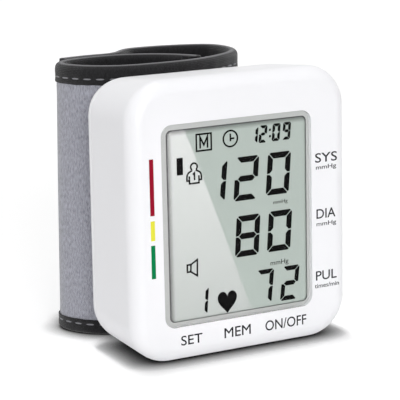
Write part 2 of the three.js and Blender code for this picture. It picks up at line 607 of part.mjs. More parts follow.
// A key with its lip inside the case and a stem up to the switch, about its own axis.
function key() {
  const lipMargin = 2 * KEY_FIT + 2 * KEY_LIP;
  const cap = prism(roundedRectangle(KEY_WIDTH, KEY_DEPTH, KEY_DEPTH / 2), 0, 0, KEY_SINK, KEY_LIP_TOP);
  const lip = prism(roundedRectangle(KEY_WIDTH + lipMargin, KEY_DEPTH + lipMargin, (KEY_DEPTH + lipMargin) / 2),
    0, 0, KEY_LIP_Z, KEY_LIP_TOP);
  return join(cap, lip, rodZ(0, SWITCH_Y - KEY_Y, STEM_RADIUS, KEY_LIP_Z, STEM_TOP));
}

function keys() {
  const group = new THREE.Group();
  const boreTop = PLUNGER_Z + PLUNGER_LENGTH + KEY_TRAVEL + SEAT;
  KEY_NAMES.forEach((name, i) => {
    const place = new THREE.Group();
    place.position.set(KEY_PLACES[i], 0, 0);
    const button = piece(`${name}_button`, key(), 'grey');
    button.position.set(0, KEY_Y, 0);
    const body = box(-SWITCH_WIDTH / 2, SWITCH_WIDTH / 2, ON_BOARD_Y, ON_BOARD_Y + SWITCH_DEPTH, SWITCH_Z,
      SWITCH_Z + SWITCH_HEIGHT);
    const bore = rodZ(0, SWITCH_Y, PLUNGER_RADIUS + RUN, 0, boreTop);
    place.add(button);
    place.add(piece(`${name}_switch`, cut(body, bore), 'chip'));
    place.add(piece(`${name}_plunger`, rodZ(0, SWITCH_Y, PLUNGER_RADIUS, PLUNGER_Z,
      PLUNGER_Z + PLUNGER_LENGTH), 'tube'));
    group.add(place);
  });
  return group;
}

// Pump with its axis on the group's Z axis, from the motor's foot upwards.
function pump() {
  const group = new THREE.Group();
  group.position.set(PUMP_X, AIR_Y, PUMP_Z);
  const shaftLow = MOTOR_LENGTH - SHAFT_LENGTH;
  group.add(piece('pump_motor', cut(rodZ(0, 0, MOTOR_RADIUS, 0, MOTOR_LENGTH, ROUND_SIDES),
    rodZ(0, 0, SHAFT_RADIUS + RUN, shaftLow - RUN, MOTOR_LENGTH + REACH)), 'steel'));

  const crankLow = MOTOR_LENGTH + (CHAMBER_DEPTH - CRANK_THICKNESS) / 2;
  group.add(piece('pump_crank', join(rodZ(0, 0, SHAFT_RADIUS, shaftLow, crankLow + CRANK_THICKNESS / 2),
    rodZ(CRANK_OFFSET, 0, CRANK_RADIUS, crankLow, crankLow + CRANK_THICKNESS)), 'steel'));

  const headLow = MOTOR_LENGTH + SEAT;
  const headTop = headLow + HEAD_BODY_LENGTH;
  group.add(piece('pump_head', cut(join(
    rodZ(0, 0, HEAD_BODY_RADIUS, headLow, headTop, ROUND_SIDES),
    rodZ(0, 0, NIPPLE_RADIUS, headTop - SEAT, headTop + NIPPLE_LENGTH)),
  rodZ(0, 0, CHAMBER_RADIUS, 0, headLow + CHAMBER_DEPTH, ROUND_SIDES)), 'grey'));
  return group;
}

// Exhaust valve: a coil can with its nipple up and an armature in its foot.
function valve() {
  const group = new THREE.Group();
  group.position.set(VALVE_X, AIR_Y, VALVE_Z);
  const can = box(-VALVE_WIDTH / 2, VALVE_WIDTH / 2, -VALVE_DEPTH / 2, VALVE_DEPTH / 2, 0, VALVE_HEIGHT);
  const nipple = rodZ(0, 0, NIPPLE_RADIUS, VALVE_HEIGHT - SEAT, VALVE_HEIGHT + NIPPLE_LENGTH);
  const bore = rodZ(0, 0, ARMATURE_RADIUS + RUN, -REACH, ARMATURE_LENGTH + VALVE_TRAVEL + SEAT);
  group.add(piece('exhaust_valve', cut(join(can, nipple), bore), 'steel'));
  group.add(piece('valve_armature', rodZ(0, 0, ARMATURE_RADIUS, -VALVE_TRAVEL, ARMATURE_LENGTH), 'steel'));
  return group;
}

// A soft sleeve round a nipple that points along Z, up to the manifold's level.
function sleeveZ(x, nippleLow) {
  return {
    body: rodZ(x, AIR_Y, AIR_TUBE, nippleLow + RUN, AIR_Z),
    bore: rodZ(x, AIR_Y, NIPPLE_RADIUS + RUN, nippleLow - REACH, nippleLow + NIPPLE_LENGTH + RUN),
  };
}

function airManifold() {
  const pumpSleeve = sleeveZ(PUMP_X, PUMP_TOP);
  const valveSleeve = sleeveZ(VALVE_X, VALVE_Z + VALVE_HEIGHT);
  const sensorBack = ON_BOARD_Y + SENSOR_THICKNESS;
  const nozzleFront = REAR_SHELL_START - NOZZLE_TAIL;
  const main = rodX(AIR_Y, AIR_Z, AIR_TUBE, PUMP_X - AIR_TUBE, SENSOR_X + AIR_TUBE);
  const sensorSleeve = rodY(SENSOR_X, AIR_Z, AIR_TUBE, sensorBack + RUN, AIR_Y);
  const sensorBore = rodY(SENSOR_X, AIR_Z, NIPPLE_RADIUS + RUN, 0, AIR_Y + RUN);
  const nozzleSleeve = rodY(STRAP_X, AIR_Z, AIR_TUBE, AIR_Y, REAR_SHELL_START - RUN);
  const nozzleBore = rodY(STRAP_X, AIR_Z, NOZZLE_TAIL_RADIUS + RUN, nozzleFront - RUN, CASE_DEPTH);
  const whole = join(main, pumpSleeve.body, valveSleeve.body, sensorSleeve, nozzleSleeve);
  return cut(whole, pumpSleeve.bore, valveSleeve.bore, sensorBore, nozzleBore);
}

// The pipe from the manifold through the case's back and the saddle into the cuff's air bag.
function cuffNozzle() {
  const tail = rodY(STRAP_X, AIR_Z, NOZZLE_TAIL_RADIUS, REAR_SHELL_START - NOZZLE_TAIL, CASE_DEPTH);
  const tip = STRAP_Y + FABRIC_THICKNESS + CORE_THICKNESS + PLY_GAP;
  const pipe = rodY(STRAP_X, AIR_Z, NOZZLE_RADIUS, REAR_SHELL_START, tip);
  return cut(join(tail, pipe), rodY(STRAP_X, AIR_Z, NOZZLE_BORE, 0, THROUGH));
}

function airSystem() {
  const group = new THREE.Group();
  group.add(pump(), valve());
  group.add(piece('air_manifold', airManifold(), 'tube'));
  group.add(piece('cuff_nozzle', cuffNozzle(), 'grey'));
  return group;
}

// Conical coil, wide at its foot.
class ContactCoil extends THREE.Curve {
  getPoint(t, target = new THREE.Vector3()) {
    const angle = 2 * Math.PI * SPRING_TURNS * t;
    const radius = SPRING_BASE_RADIUS + (SPRING_TOP_RADIUS - SPRING_BASE_RADIUS) * t;
    const rise = SPRING_WIRE + (SPRING_HEIGHT - 2 * SPRING_WIRE) * t;
    return target.set(radius * Math.cos(angle), radius * Math.sin(angle), rise);
  }
}

// The least clear distance between one turn of the coil and another.
function coilGap(coil) {
  const points = coil.getPoints(SPRING_SAMPLES * SPRING_TURNS);
  const halfTurn = SPRING_SAMPLES / 2;
  let least = Infinity;
  points.forEach((point, i) => points.slice(i + halfTurn).forEach((other) => {
    least = Math.min(least, point.distanceTo(other));
  }));
  return least - 2 * SPRING_WIRE;
}

function contactSpring() {
  const coil = new ContactCoil();
  console.log(`contact spring: least gap between turns ${coilGap(coil).toFixed(2)} mm`);
  const wire = new THREE.Shape().absarc(0, 0, SPRING_WIRE, 0, 2 * Math.PI);
  return solid(new THREE.ExtrudeGeometry(wire, {
    steps: SPRING_STEPS * SPRING_TURNS, curveSegments: WIRE_STEPS, bevelEnabled: false, extrudePath: coil,
  }));
}

// A dry cell standing on its flat end.
function dryCell() {
  const canTop = CELL_LENGTH - CELL_NUB_LENGTH;
  return join(rodZ(0, 0, CELL_RADIUS, 0, canTop, ROUND_SIDES),
    rodZ(0, 0, CELL_NUB_RADIUS, canTop - SEAT, CELL_LENGTH));
}

function batteryTray() {
  const backY = REAR_INNER_Y - RUN;
  const frontY = BOARD_FRONT_Y + RUN;
  const hollowBack = REAR_CELL_Y + CELL_RADIUS + RUN;
  const outside = box(BAY_LEFT_X - TRAY_WALL, TRAY_RIGHT_X, frontY, backY, BAY_LOW_Z - TRAY_WALL,
    BAY_HIGH_Z + TRAY_WALL);
  return cut(outside, box(BAY_LEFT_X, TRAY_RIGHT_X + REACH, 0, hollowBack, BAY_LOW_Z, BAY_HIGH_Z));
}

function batteryDoor() {
  const outer = CASE_WIDTH / 2;
  const middle = (DOOR_FRONT_Y + DOOR_BACK_Y) / 2;
  const panel = box(DOOR_INNER_X, outer, DOOR_FRONT_Y, DOOR_BACK_Y, DOOR_LOW_Z, DOOR_HIGH_Z);
  const tabOuter = outer - WALL - RUN;
  const tabInner = tabOuter - DOOR_TAB_THICKNESS;
  const tabs = [-1, 1].flatMap((side) => {
    const y = middle + side * DOOR_TAB_SPREAD;
    const y0 = y - DOOR_TAB_WIDTH / 2;
    const y1 = y + DOOR_TAB_WIDTH / 2;
    return [
      box(tabInner, tabOuter, y0, y1, DOOR_LOW_Z - DOOR_TAB_REACH, DOOR_LOW_Z + RUN),
      box(tabInner, DOOR_INNER_X + SEAT, y0, y1, DOOR_LOW_Z, DOOR_LOW_Z + RUN),
    ];
  });
  const grooves = Array.from({ length: DOOR_GROOVE_COUNT }, (_, i) => {
    const z = DOOR_HIGH_Z - DOOR_GROOVE_MARGIN - i * DOOR_GROOVE_PITCH;
    return box(outer - DOOR_GROOVE_DEPTH, outer + REACH, middle - DOOR_GROOVE_LENGTH / 2,
      middle + DOOR_GROOVE_LENGTH / 2, z, z + DOOR_GROOVE_WIDTH);
  });
  return cut(join(panel, ...tabs), ...grooves);
}

function battery() {
  const group = new THREE.Group();
  group.add(piece('battery_tray', batteryTray(), 'white'));
  group.add(piece('battery_door', batteryDoor(), 'white'));

  const springFoot = BAY_LOW_Z + CONTACT_STACK;
  const frontCell = piece('front_cell', dryCell(), 'cell');
  frontCell.position.set(CELL_X, FRONT_CELL_Y, springFoot + SPRING_HEIGHT + FIT);
  const rearCell = piece('rear_cell', dryCell(), 'cell');
  rearCell.position.set(CELL_X, REAR_CELL_Y, BAY_LOW_Z + CONTACT_STACK + CELL_LENGTH);
  rearCell.rotation.x = Math.PI;
  const frontSpring = piece('front_spring', contactSpring(), 'steel');
  frontSpring.position.set(CELL_X, FRONT_CELL_Y, springFoot);
  const rearSpring = piece('rear_spring', contactSpring(), 'steel');
  rearSpring.position.set(CELL_X, REAR_CELL_Y, BAY_HIGH_Z - CONTACT_STACK);
  rearSpring.rotation.x = Math.PI;
  group.add(frontCell, rearCell, frontSpring, rearSpring);

  const half = CONTACT_SIZE / 2;
  const low = BAY_LOW_Z + SEAT;
  const high = BAY_HIGH_Z - SEAT;
  const contact = (y0, y1, z0) => box(CELL_X - half, CELL_X + half, y0, y1, z0, z0 + CONTACT_THICKNESS);
  group.add(piece('negative_contact', contact(FRONT_CELL_Y - half, FRONT_CELL_Y + half, low), 'steel'));
  group.add(piece('positive_contact', contact(REAR_CELL_Y - half, REAR_CELL_Y + half, low), 'steel'));
  group.add(piece('bridge_contact', contact(FRONT_CELL_Y - half, REAR_CELL_Y + half,
    high - CONTACT_THICKNESS), 'steel'));
  return group;
}

// Follows arcs from a start with its turn, to the right of it for side 1 and mirrored for side -1. Each
// station is a point on the strap's outer face with the direction that points out of the loop.
function followArcs(start, arcs, side) {
  const stations = [];
  let { x, y, turn } = start;
  for (const [radius, degrees] of arcs) {
    const sweep = THREE.MathUtils.degToRad(degrees);
    const steps = Math.ceil(Math.abs(radius * sweep) / STRAP_STEP);
    const middleX = x - side * radius * Math.sin(turn);
    const middleY = y + radius * Math.cos(turn);
    for (let k = stations.length ? 1 : 0; k <= steps; k += 1) {
      const angle = turn + (sweep * k) / steps;
      const out = new THREE.Vector2(side * Math.sin(angle), -Math.cos(angle));
      stations.push({ point: new THREE.Vector2(middleX, middleY).addScaledVector(out, radius), out });
    }
    turn += sweep;
    ({ x, y } = stations[stations.length - 1].point);
  }
  return { stations, end: { x, y, turn } };
}

function moved(station, outwards) {
  return { point: station.point.clone().addScaledVector(station.out, outwards), out: station.out };
}

// The length of an arc that spans a distance, as [radius, degrees].
function arcOver(radius, distance) {
  return [radius, THREE.MathUtils.radToDeg(distance / radius)];
}

// Goes on from a run's end by a gap, then along arcs whose first one is shorter by that gap.
function runAfterGap(end, arcs, side) {
  const [radius, degrees] = arcs[0];
  const gap = arcOver(radius, SPLIT_GAP);
  const begin = followArcs(end, [gap], side).end;
  return followArcs(begin, [[radius, degrees - gap[1]], ...arcs.slice(1)], side);
}

// Plan of the strap: the band that is fixed to the case, the flap at its right end, which lies on the
// band at the back, and the tail inside. The zones mark where the end bindings and the hooks sit.
function strapPlan() {
  const front = { x: STRAP_X, y: STRAP_Y, turn: 0 };
  const right = followArcs(front, RIGHT_ARCS, 1);
  const left = followArcs(front, LEFT_ARCS, -1);
  const lapEnd = followArcs(left.end, [[LAP_RADIUS, LAP_END_TURN]], -1);
  const lapPatch = followArcs(lapEnd.end, [[LAP_RADIUS, LAP_PATCH_TURN]], -1);
  const afterLap = followArcs(lapPatch.end, [[LAP_RADIUS, AFTER_LAP_TURN]], -1);
  const leftStations = [left, lapEnd, lapPatch, afterLap].flatMap((run, i) => run.stations.slice(i ? 1 : 0));
  const band = [...leftStations.slice(1).reverse(), ...right.stations];

  const rim = BINDING_RIM + PLY_GAP;
  const tailRun = runAfterGap(afterLap.end, [[LAP_RADIUS, TAIL_TURN]], -1);
  const tailEnd = followArcs(tailRun.end, [[LAP_RADIUS, TAIL_END_TURN]], -1);
  const tailRim = followArcs(tailEnd.end, [arcOver(LAP_RADIUS, rim)], -1).stations.slice(1);
  const tail = [...tailRun.stations, ...tailEnd.stations.slice(1)];

  const free = runAfterGap(right.end, FLAP_ARCS, 1);
  const onLap = (run) => run.stations.map((station) => moved(station, LAP_OFFSET)).reverse();
  const patch = onLap(lapPatch);
  const flapEnd = onLap(lapEnd);
  const lapRim = followArcs({ ...lapEnd.stations[0].point, turn: left.end.turn },
    [arcOver(LAP_RADIUS, -rim)], -1).stations;
  const flapRim = [moved(lapRim[lapRim.length - 1], LAP_OFFSET)];
  const flap = [...free.stations, ...dip(free.stations[free.stations.length - 1], patch[0]),
    ...patch, ...flapEnd.slice(1)];
  return { band, tail, tailEnd: tailEnd.stations, tailRim, flap, patch, flapEnd, flapRim };
}

// The flap's soft bend from its free stretch down on to the lap, as a curve that leaves and arrives
// along the strap.
function dip(from, to) {
  const along = (station) => new THREE.Vector2(-station.out.y, station.out.x);
  const curve = new THREE.CubicBezierCurve(from.point,
    from.point.clone().addScaledVector(along(from), FLAP_DIP),
    to.point.clone().addScaledVector(along(to), -FLAP_DIP), to.point);
  const steps = Math.ceil(curve.getLength() / STRAP_STEP) + 1;
  return Array.from({ length: steps - 1 }, (_, i) => (i + 1) / steps).map((t) => {
    const tangent = curve.getTangent(t);
    return { point: curve.getPoint(t), out: new THREE.Vector2(tangent.y, -tangent.x) };
  });
}

// A ply of the strap between two depths below its outer face, from z0 to z1.
function ply(stations, depth0, depth1, z0, z1) {
  const outside = stations.map((station) => moved(station, -depth0).point);
  const inside = stations.map((station) => moved(station, -depth1).point).reverse();
  return prism(new THREE.Shape([...outside, ...inside]), 0, 0, z0, z1);
}

const PLY_LOW = BINDING_RIM + PLY_GAP;
const PLY_HIGH = STRAP_HEIGHT - BINDING_RIM - PLY_GAP;

// A tape folded over the strap's upper or lower edge, open towards the strap.
function edgeBinding(stations, upper) {
  const z0 = upper ? STRAP_HEIGHT - BINDING_HEIGHT : 0;
  const z1 = z0 + BINDING_HEIGHT;
  const tape = ply(stations, -BINDING_PROUD, STRAP_THICKNESS + BINDING_PROUD, z0, z1);
  const slotLow = upper ? z0 - REACH : BINDING_RIM;
  const slotHigh = upper ? z1 - BINDING_RIM : z1 + REACH;
  return cut(tape, ply(stations, -PLY_GAP, STRAP_THICKNESS + PLY_GAP, slotLow, slotHigh));
}

// A tape folded over a free end, between the edge bindings.
function endBinding(stations, rim) {
  const z0 = BINDING_HEIGHT + PLY_GAP;
  const z1 = STRAP_HEIGHT - BINDING_HEIGHT - PLY_GAP;
  const tape = ply([...stations, ...rim], -BINDING_PROUD, STRAP_THICKNESS + BINDING_PROUD, z0, z1);
  return cut(tape, ply(stations, -PLY_GAP, STRAP_THICKNESS + PLY_GAP, z0 - REACH, z1 + REACH));
}

// Fabric, padded lining and bindings of a free end of the strap.
function freeEnd(name, stations, endStations, rim) {
  const group = new THREE.Group();
  const whole = [...stations, ...rim];
  group.add(piece(`${name}_fabric`, ply(stations, 0, FABRIC_THICKNESS, PLY_LOW, PLY_HIGH), 'fabric'));
  group.add(piece(`${name}_lining`, ply(stations, FABRIC_THICKNESS + PLY_GAP, STRAP_THICKNESS, PLY_LOW,
    PLY_HIGH), 'black'));
  group.add(piece(`${name}_binding_top`, edgeBinding(whole, true), 'black'));
  group.add(piece(`${name}_binding_bottom`, edgeBinding(whole, false), 'black'));
  group.add(piece(`${name}_binding_end`, endBinding(endStations, rim), 'black'));
  return group;
}

// The band's plies, from the fabric outside to the lining on the wrist.
function bandPlies(band) {
  const group = new THREE.Group();
  const coreDepth = FABRIC_THICKNESS + PLY_GAP;
  const bladderDepth = coreDepth + CORE_THICKNESS + PLY_GAP;
  const liningDepth = bladderDepth + BLADDER_THICKNESS + PLY_GAP;
  const airHole = (radius) => rodY(STRAP_X, AIR_Z, radius, 0, STRAP_Y + STRAP_THICKNESS + REACH);
  const studHoles = STUD_PLACES.map(([x, z]) => rodY(x, z, STUD_RADIUS + RUN, 0, STRAP_Y + REACH));

  const fabric = ply(band, 0, FABRIC_THICKNESS, PLY_LOW, PLY_HIGH);
  group.add(piece('cuff_fabric', cut(fabric, airHole(NOZZLE_RADIUS + RUN), ...studHoles), 'fabric'));

  const core = ply(band, coreDepth, coreDepth + CORE_THICKNESS, BINDING_HEIGHT, STRAP_HEIGHT - BINDING_HEIGHT);
  const studs = STUD_PLACES.map(([x, z]) => rodY(x, z, STUD_RADIUS, STRAP_Y - STUD_LENGTH,
    STRAP_Y + coreDepth + CORE_THICKNESS));
  group.add(piece('cuff_core', cut(join(core, ...studs), airHole(NOZZLE_RADIUS + RUN)), 'grey'));

  const bare = Math.ceil(BLADDER_END / STRAP_STEP);
  const bladderStations = band.slice(bare, -bare);
  const bladder = ply(bladderStations, bladderDepth, bladderDepth + BLADDER_THICKNESS,
    BINDING_HEIGHT + BLADDER_MARGIN, STRAP_HEIGHT - BINDING_HEIGHT - BLADDER_MARGIN);
  group.add(piece('cuff_bladder', cut(bladder, airHole(NOZZLE_BORE)), 'rubber'));

  group.add(piece('cuff_lining', ply(band, liningDepth, STRAP_THICKNESS, PLY_LOW, PLY_HIGH), 'black'));
  group.add(piece('cuff_binding_top', edgeBinding(band, true), 'black'));
  group.add(piece('cuff_binding_bottom', edgeBinding(band, false), 'black'));
  return group;
}

// A seat that fills the wedge between the flat back of the case and the curved front of the cuff.
function cuffSaddle(band) {
  const low = CASE_MIDDLE_Z - SADDLE_HEIGHT / 2;
  const high = CASE_MIDDLE_Z + SADDLE_HEIGHT / 2;
  const half = SADDLE_WIDTH / 2;
  const slab = box(STRAP_X - half, STRAP_X + half, SADDLE_FRONT_Y, THROUGH, low, high);
  const seat = slab.intersect(frontOf(band, low, high));
  const pegs = PEG_PLACES.map(([x, z]) => rodY(x, z, SADDLE_PEG_RADIUS, REAR_INNER_Y + FIT,
    SADDLE_FRONT_Y + SADDLE_THINNEST / 2));
  const studHoles = STUD_PLACES.map(([x, z]) => rodY(x, z, STUD_RADIUS + RUN, 0, THROUGH));
  const nozzleHole = rodY(STRAP_X, AIR_Z, NOZZLE_RADIUS + RUN, 0, THROUGH);
  return cut(join(seat, ...pegs), ...studHoles, nozzleHole);
}

// Everything between the case's back and the strap's front wall, over the saddle's width.
function frontOf(band, low, high) {
  const half = SADDLE_WIDTH;
  const wall = band.filter((station) => station.out.y < 0 && Math.abs(station.point.x - STRAP_X) < half);
  const edge = wall.map((station) => moved(station, RUN).point);
  const shape = new THREE.Shape([...edge, new THREE.Vector2(edge[edge.length - 1].x, CASE_DEPTH),
    new THREE.Vector2(edge[0].x, CASE_DEPTH)]);
  return prism(shape, 0, 0, low, high);
}

function cuff() {
  const group = new THREE.Group();
  const plan = strapPlan();
  group.add(piece('cuff_saddle', cuffSaddle(plan.band), 'white'));
  group.add(bandPlies(plan.band));
  group.add(freeEnd('flap', plan.flap, plan.flapEnd, plan.flapRim));
  const hookDepth = LAP_OFFSET - RUN;
  group.add(piece('hook_patch', ply(plan.patch, STRAP_THICKNESS + PLY_GAP, hookDepth,
    BINDING_HEIGHT + HOOK_MARGIN, STRAP_HEIGHT - BINDING_HEIGHT - HOOK_MARGIN), 'black'));
  group.add(freeEnd('tail', plan.tail, plan.tailEnd, plan.tailRim));
  return group;
}

const monitor = new THREE.Group();
monitor.name = 'wrist_blood_pressure_monitor';
monitor.add(shells(), display(), electronics(), keys(), airSystem(), battery(), cuff());
monitor.updateMatrixWorld(true);
const footprint = new THREE.Box3().setFromObject(monitor, true);
monitor.position.y = -(footprint.min.y + footprint.max.y) / 2;
monitor.updateMatrixWorld(true);

export default monitor;
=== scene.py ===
"""Wrist blood pressure monitor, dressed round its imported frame: case, display, keys, battery bay and cuff."""

import math

import bmesh
import bpy
import numpy as np
from bpy.props import FloatProperty, FloatVectorProperty, PointerProperty
from mathutils import Matrix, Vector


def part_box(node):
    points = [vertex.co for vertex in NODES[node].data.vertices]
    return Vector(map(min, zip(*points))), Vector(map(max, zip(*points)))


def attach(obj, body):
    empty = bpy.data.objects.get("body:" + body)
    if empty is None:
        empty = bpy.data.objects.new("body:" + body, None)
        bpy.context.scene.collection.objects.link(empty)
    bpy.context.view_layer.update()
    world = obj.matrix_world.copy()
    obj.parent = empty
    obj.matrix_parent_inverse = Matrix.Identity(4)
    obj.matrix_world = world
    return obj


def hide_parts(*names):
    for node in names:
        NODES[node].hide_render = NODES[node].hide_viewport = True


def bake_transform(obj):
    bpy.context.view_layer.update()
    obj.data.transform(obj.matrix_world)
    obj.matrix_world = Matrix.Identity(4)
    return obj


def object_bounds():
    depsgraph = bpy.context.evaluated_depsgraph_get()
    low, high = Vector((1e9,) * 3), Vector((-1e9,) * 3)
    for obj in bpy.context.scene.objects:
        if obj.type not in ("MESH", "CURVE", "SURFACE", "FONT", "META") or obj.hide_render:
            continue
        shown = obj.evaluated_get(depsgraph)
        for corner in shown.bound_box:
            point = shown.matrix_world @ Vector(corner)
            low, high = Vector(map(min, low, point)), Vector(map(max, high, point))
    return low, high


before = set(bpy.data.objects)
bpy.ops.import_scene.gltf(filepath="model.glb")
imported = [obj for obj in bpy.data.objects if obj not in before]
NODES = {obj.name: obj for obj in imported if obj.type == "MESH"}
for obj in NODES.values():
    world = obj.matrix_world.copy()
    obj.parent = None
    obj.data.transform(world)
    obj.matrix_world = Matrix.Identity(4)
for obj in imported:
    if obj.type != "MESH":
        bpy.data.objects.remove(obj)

bl_info = {
    "name": "Wrist Monitor",
    "version": (1, 0, 0),
    "blender": (4, 5, 0),
    "location": "3D View > Sidebar > Monitor",
    "description": "Dresses the packed wrist blood pressure monitor",
    "category": "Object",
}

MM = 0.001
CAD_BOX = [list(corner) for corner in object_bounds()]

# Planes of the case, taken from the frame.
FRONT_LOW, FRONT_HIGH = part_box("front_case")
FRONT_Y = FRONT_LOW.y
SEAM_Y = FRONT_HIGH.y
BACK_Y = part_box("rear_case")[1].y
RIGHT_X = FRONT_HIGH.x
CASE_WIDTH = FRONT_HIGH.x - FRONT_LOW.x
CASE_HEIGHT = FRONT_HIGH.z - FRONT_LOW.z
CASE_MIDDLE_Z = CASE_HEIGHT / 2

# Where a profile's width, height and depth point, for a shape seen on each side of the case.
FACING_FRONT = np.array([[1, 0, 0], [0, 0, 1], [0, 1, 0]], float)
FACING_BACK = np.array([[1, 0, 0], [0, 0, 1], [0, -1, 0]], float)
FACING_DOWN = np.array([[1, 0, 0], [0, 1, 0], [0, 0, 1]], float)
FACING_UP = np.array([[1, 0, 0], [0, 1, 0], [0, 0, -1]], float)
FACING_RIGHT = np.array([[0, 1, 0], [0, 0, 1], [-1, 0, 0]], float)

# Steps in a quarter circle, from the case's corners down to the smallest bars.
CORNER_STEPS = 14
EDGE_STEPS = 12
HOLE_STEPS = 8
DOOR_STEPS = 5
LIP_STEPS = 4
BAR_STEPS = 3
QUARTER = np.pi / 2
CUT_CLEAR = 1 * MM
WELD = 1e-7
SHARP_ANGLE = 32
CLOTH_SHARP_ANGLE = 50
FLAT_WEIGHT = 90


def number(title, description, value, **kind):
    """A number property."""
    return FloatProperty(name=title, description=description, default=value, **kind)


def millimetres(title, description, value):
    """A length property whose default is given in millimetres."""
    return number(title, description, value * MM, unit="LENGTH", precision=5)


def degrees(title, description, value):
    """An angle property whose default is given in degrees."""
    return number(title, description, math.radians(value), subtype="ANGLE")


def tint(title, description, *value):
    """A colour property in linear red, green and blue."""
    return FloatVectorProperty(name=title, description=description, default=value, size=3, min=0, max=1,
                               subtype="COLOR")


class CaseSettings(bpy.types.PropertyGroup):
    """Sizes and colours of the moulded case, its keys and its battery door."""

    corner: millimetres("Corner radius", "Radius of the case's four corners, seen from the front", 11)
    edge: millimetres("Edge radius", "Round between the faces and the sides", 4.2)
    wall: millimetres("Wall", "Thickness of the sides and the back", 1.8)
    face_wall: millimetres("Front wall", "Thickness of the front face", 2.5)
    seam: millimetres("Seam", "Gap between the two shells", 0.2)
    lip: millimetres("Lip radius", "Small round on each opening's rim", 0.2)
    key_crown: millimetres("Key crown", "Height of the dome on each key", 0.7)
    white: tint("Case white", "Colour of the shells and the battery door", 0.915, 0.915, 0.938)
    key_grey: tint("Key grey", "Colour of the keys", 0.35, 0.37, 0.41)
    print_grey: tint("Print grey", "Colour of the printed legends", 0.012, 0.0125, 0.015)
    cell_blue: tint("Cell film", "Colour of the film round the dry cells", 0.035, 0.09, 0.26)


class DisplaySettings(bpy.types.PropertyGroup):
    """Sizes and colours of the display window and its symbols."""

    border: millimetres("Border", "How much the border's inner corners are tighter than the window's", 1.6)
    gap: millimetres("Window gap", "Joint round the window", 0.03)
    rim: millimetres("Window rim", "Round on the window's edges", 0.05)
    ink_height: millimetres("Symbol height", "How far a symbol stands off the panel", 0.03)
    line: millimetres("Symbol line", "Width of the lines in the small symbols", 0.46)
    border_grey: tint("Border grey", "Colour of the printed border", 0.50, 0.51, 0.50)
    # The dark line inside the border is a painted shadow of the border's edge.
    shadow_line_grey: tint("Border line", "Colour of the dark line inside the border", 0.06, 0.062, 0.062)
    panel_grey: tint("Panel grey", "Colour of the reflective panel", 0.47, 0.525, 0.49)
    ink: tint("Symbol black", "Colour of the dark segments", 0.009, 0.009, 0.009)


class CuffSettings(bpy.types.PropertyGroup):
    """Sizes and colours of the cuff's fabric, tape and thread."""

    fabric: millimetres("Fabric", "Thickness of the outer fabric", 0.6)
    proud: millimetres("Tape height", "How far the binding tape stands off the fabric", 0.45)
    tape: millimetres("Tape", "Thickness of the binding tape", 0.35)
    gather: millimetres("Gathers", "Height of the fabric's gathers beside the binding", 0.32)
    stitch_pitch: millimetres("Stitch pitch", "Distance from stitch to stitch", 3.5)
    stitch_length: millimetres("Stitch length", "Length of one stitch", 2.2)
    stitch_inset: millimetres("Stitch line", "Distance of the stitches from the rim", 3.6)
    thread: millimetres("Thread", "Thickness of the thread", 0.42)
    fabric_grey: tint("Fabric grey", "Middle colour of the heather fabric", 0.42, 0.425, 0.487)
    tape_black: tint("Tape black", "Colour of the binding tape", 0.016, 0.0157, 0.0172)
    # Colour of a painted highlight along the tape's folds.
    rim_highlight_grey: tint("Rim highlight", "Colour of the painted highlight along the tape's folds", 0.18, 0.18, 0.19)
    lining_black: tint("Lining black", "Colour of the knitted lining", 0.028, 0.028, 0.030)
    thread_grey: tint("Thread grey", "Colour of the stitches", 0.24, 0.24, 0.26)


class StageSettings(bpy.types.PropertyGroup):
    """The camera's place and the studio's light."""

    azimuth: degrees("Azimuth", "Camera's turn to the left of the front", 28.57)
    elevation: degrees("Elevation", "Camera's angle above the floor", 12.07)
    roll: degrees("Roll", "Camera's turn about its own axis", -1.225)
    distance: millimetres("Distance", "Camera's distance along its axis", 470.577)
    across: millimetres("Across", "Case middle's place to the right of the picture's middle", 11.388)
    above: millimetres("Above", "Case middle's place above the picture's middle", -3.786)
    lens: number("Lens", "Focal length on a 36 mm sensor", 162.56, subtype="DISTANCE_CAMERA")
    sky: number("Sky", "Strength of the even light from all round", 0.40)
    front: number("Front lamp", "Strength of the soft light beside the camera", 1.46)
    top: number("Top lamp", "Strength of the soft light overhead", 1.15)
    glare: number("Glare", "Brightness of the card that the display mirrors", 3.4)


# Shapes

def grid_faces(rows, columns, wrap_rows=False, wrap_columns=False):
    """Quads between neighbours of a grid stored row after row; a wrapped side closes on itself."""
    row = np.arange(rows if wrap_rows else rows - 1)
    column = np.arange(columns if wrap_columns else columns - 1)
    r, c = np.meshgrid(row, column, indexing="ij")
    next_r = (r + 1) % rows
    next_c = (c + 1) % columns
    corners = [r * columns + c, r * columns + next_c, next_r * columns + next_c, next_r * columns + c]
    return np.stack(corners, axis=-1).reshape(-1, 4).tolist()


def tube_faces(rings, around, closed=False):
    """Quads of a tube stored ring after ring, with a flat cap on each end unless it closes on itself."""
    faces = grid_faces(rings, around, wrap_rows=closed, wrap_columns=True)
    if not closed:
        last = (rings - 1) * around
        faces += [list(range(around)), list(range(last, last + around))]
    return faces


def tubes(points, rings, around):
    """Many like tubes at once: their points tube after tube, with the faces of one tube moved on for each."""
    points = points.reshape(-1, 3)
    size = rings * around
    one = tube_faces(rings, around)
    starts = range(0, len(points), size)
    return points, [[corner + start for corner in face] for start in starts for face in one]


def merged(shapes):
    """One shape from several: their points in a row, with the faces' numbers moved along."""
    starts = np.cumsum([0] + [len(points) for points, faces in shapes])
    points = np.vstack([points for points, faces in shapes])
    faces = [[corner + int(start) for corner in face]
             for start, (_, part) in zip(starts, shapes) for face in part]
    return points, faces


def placed(shape, origin, axes):
    """A shape moved from width, height and depth to the frame: origin plus each measure along its axis."""
    points, faces = shape
    return np.asarray(origin, float) + points @ axes, faces


def even_turns(count):
    """Angles of even steps round a circle."""
    return np.linspace(0, 2 * np.pi, count + 1)[:-1]


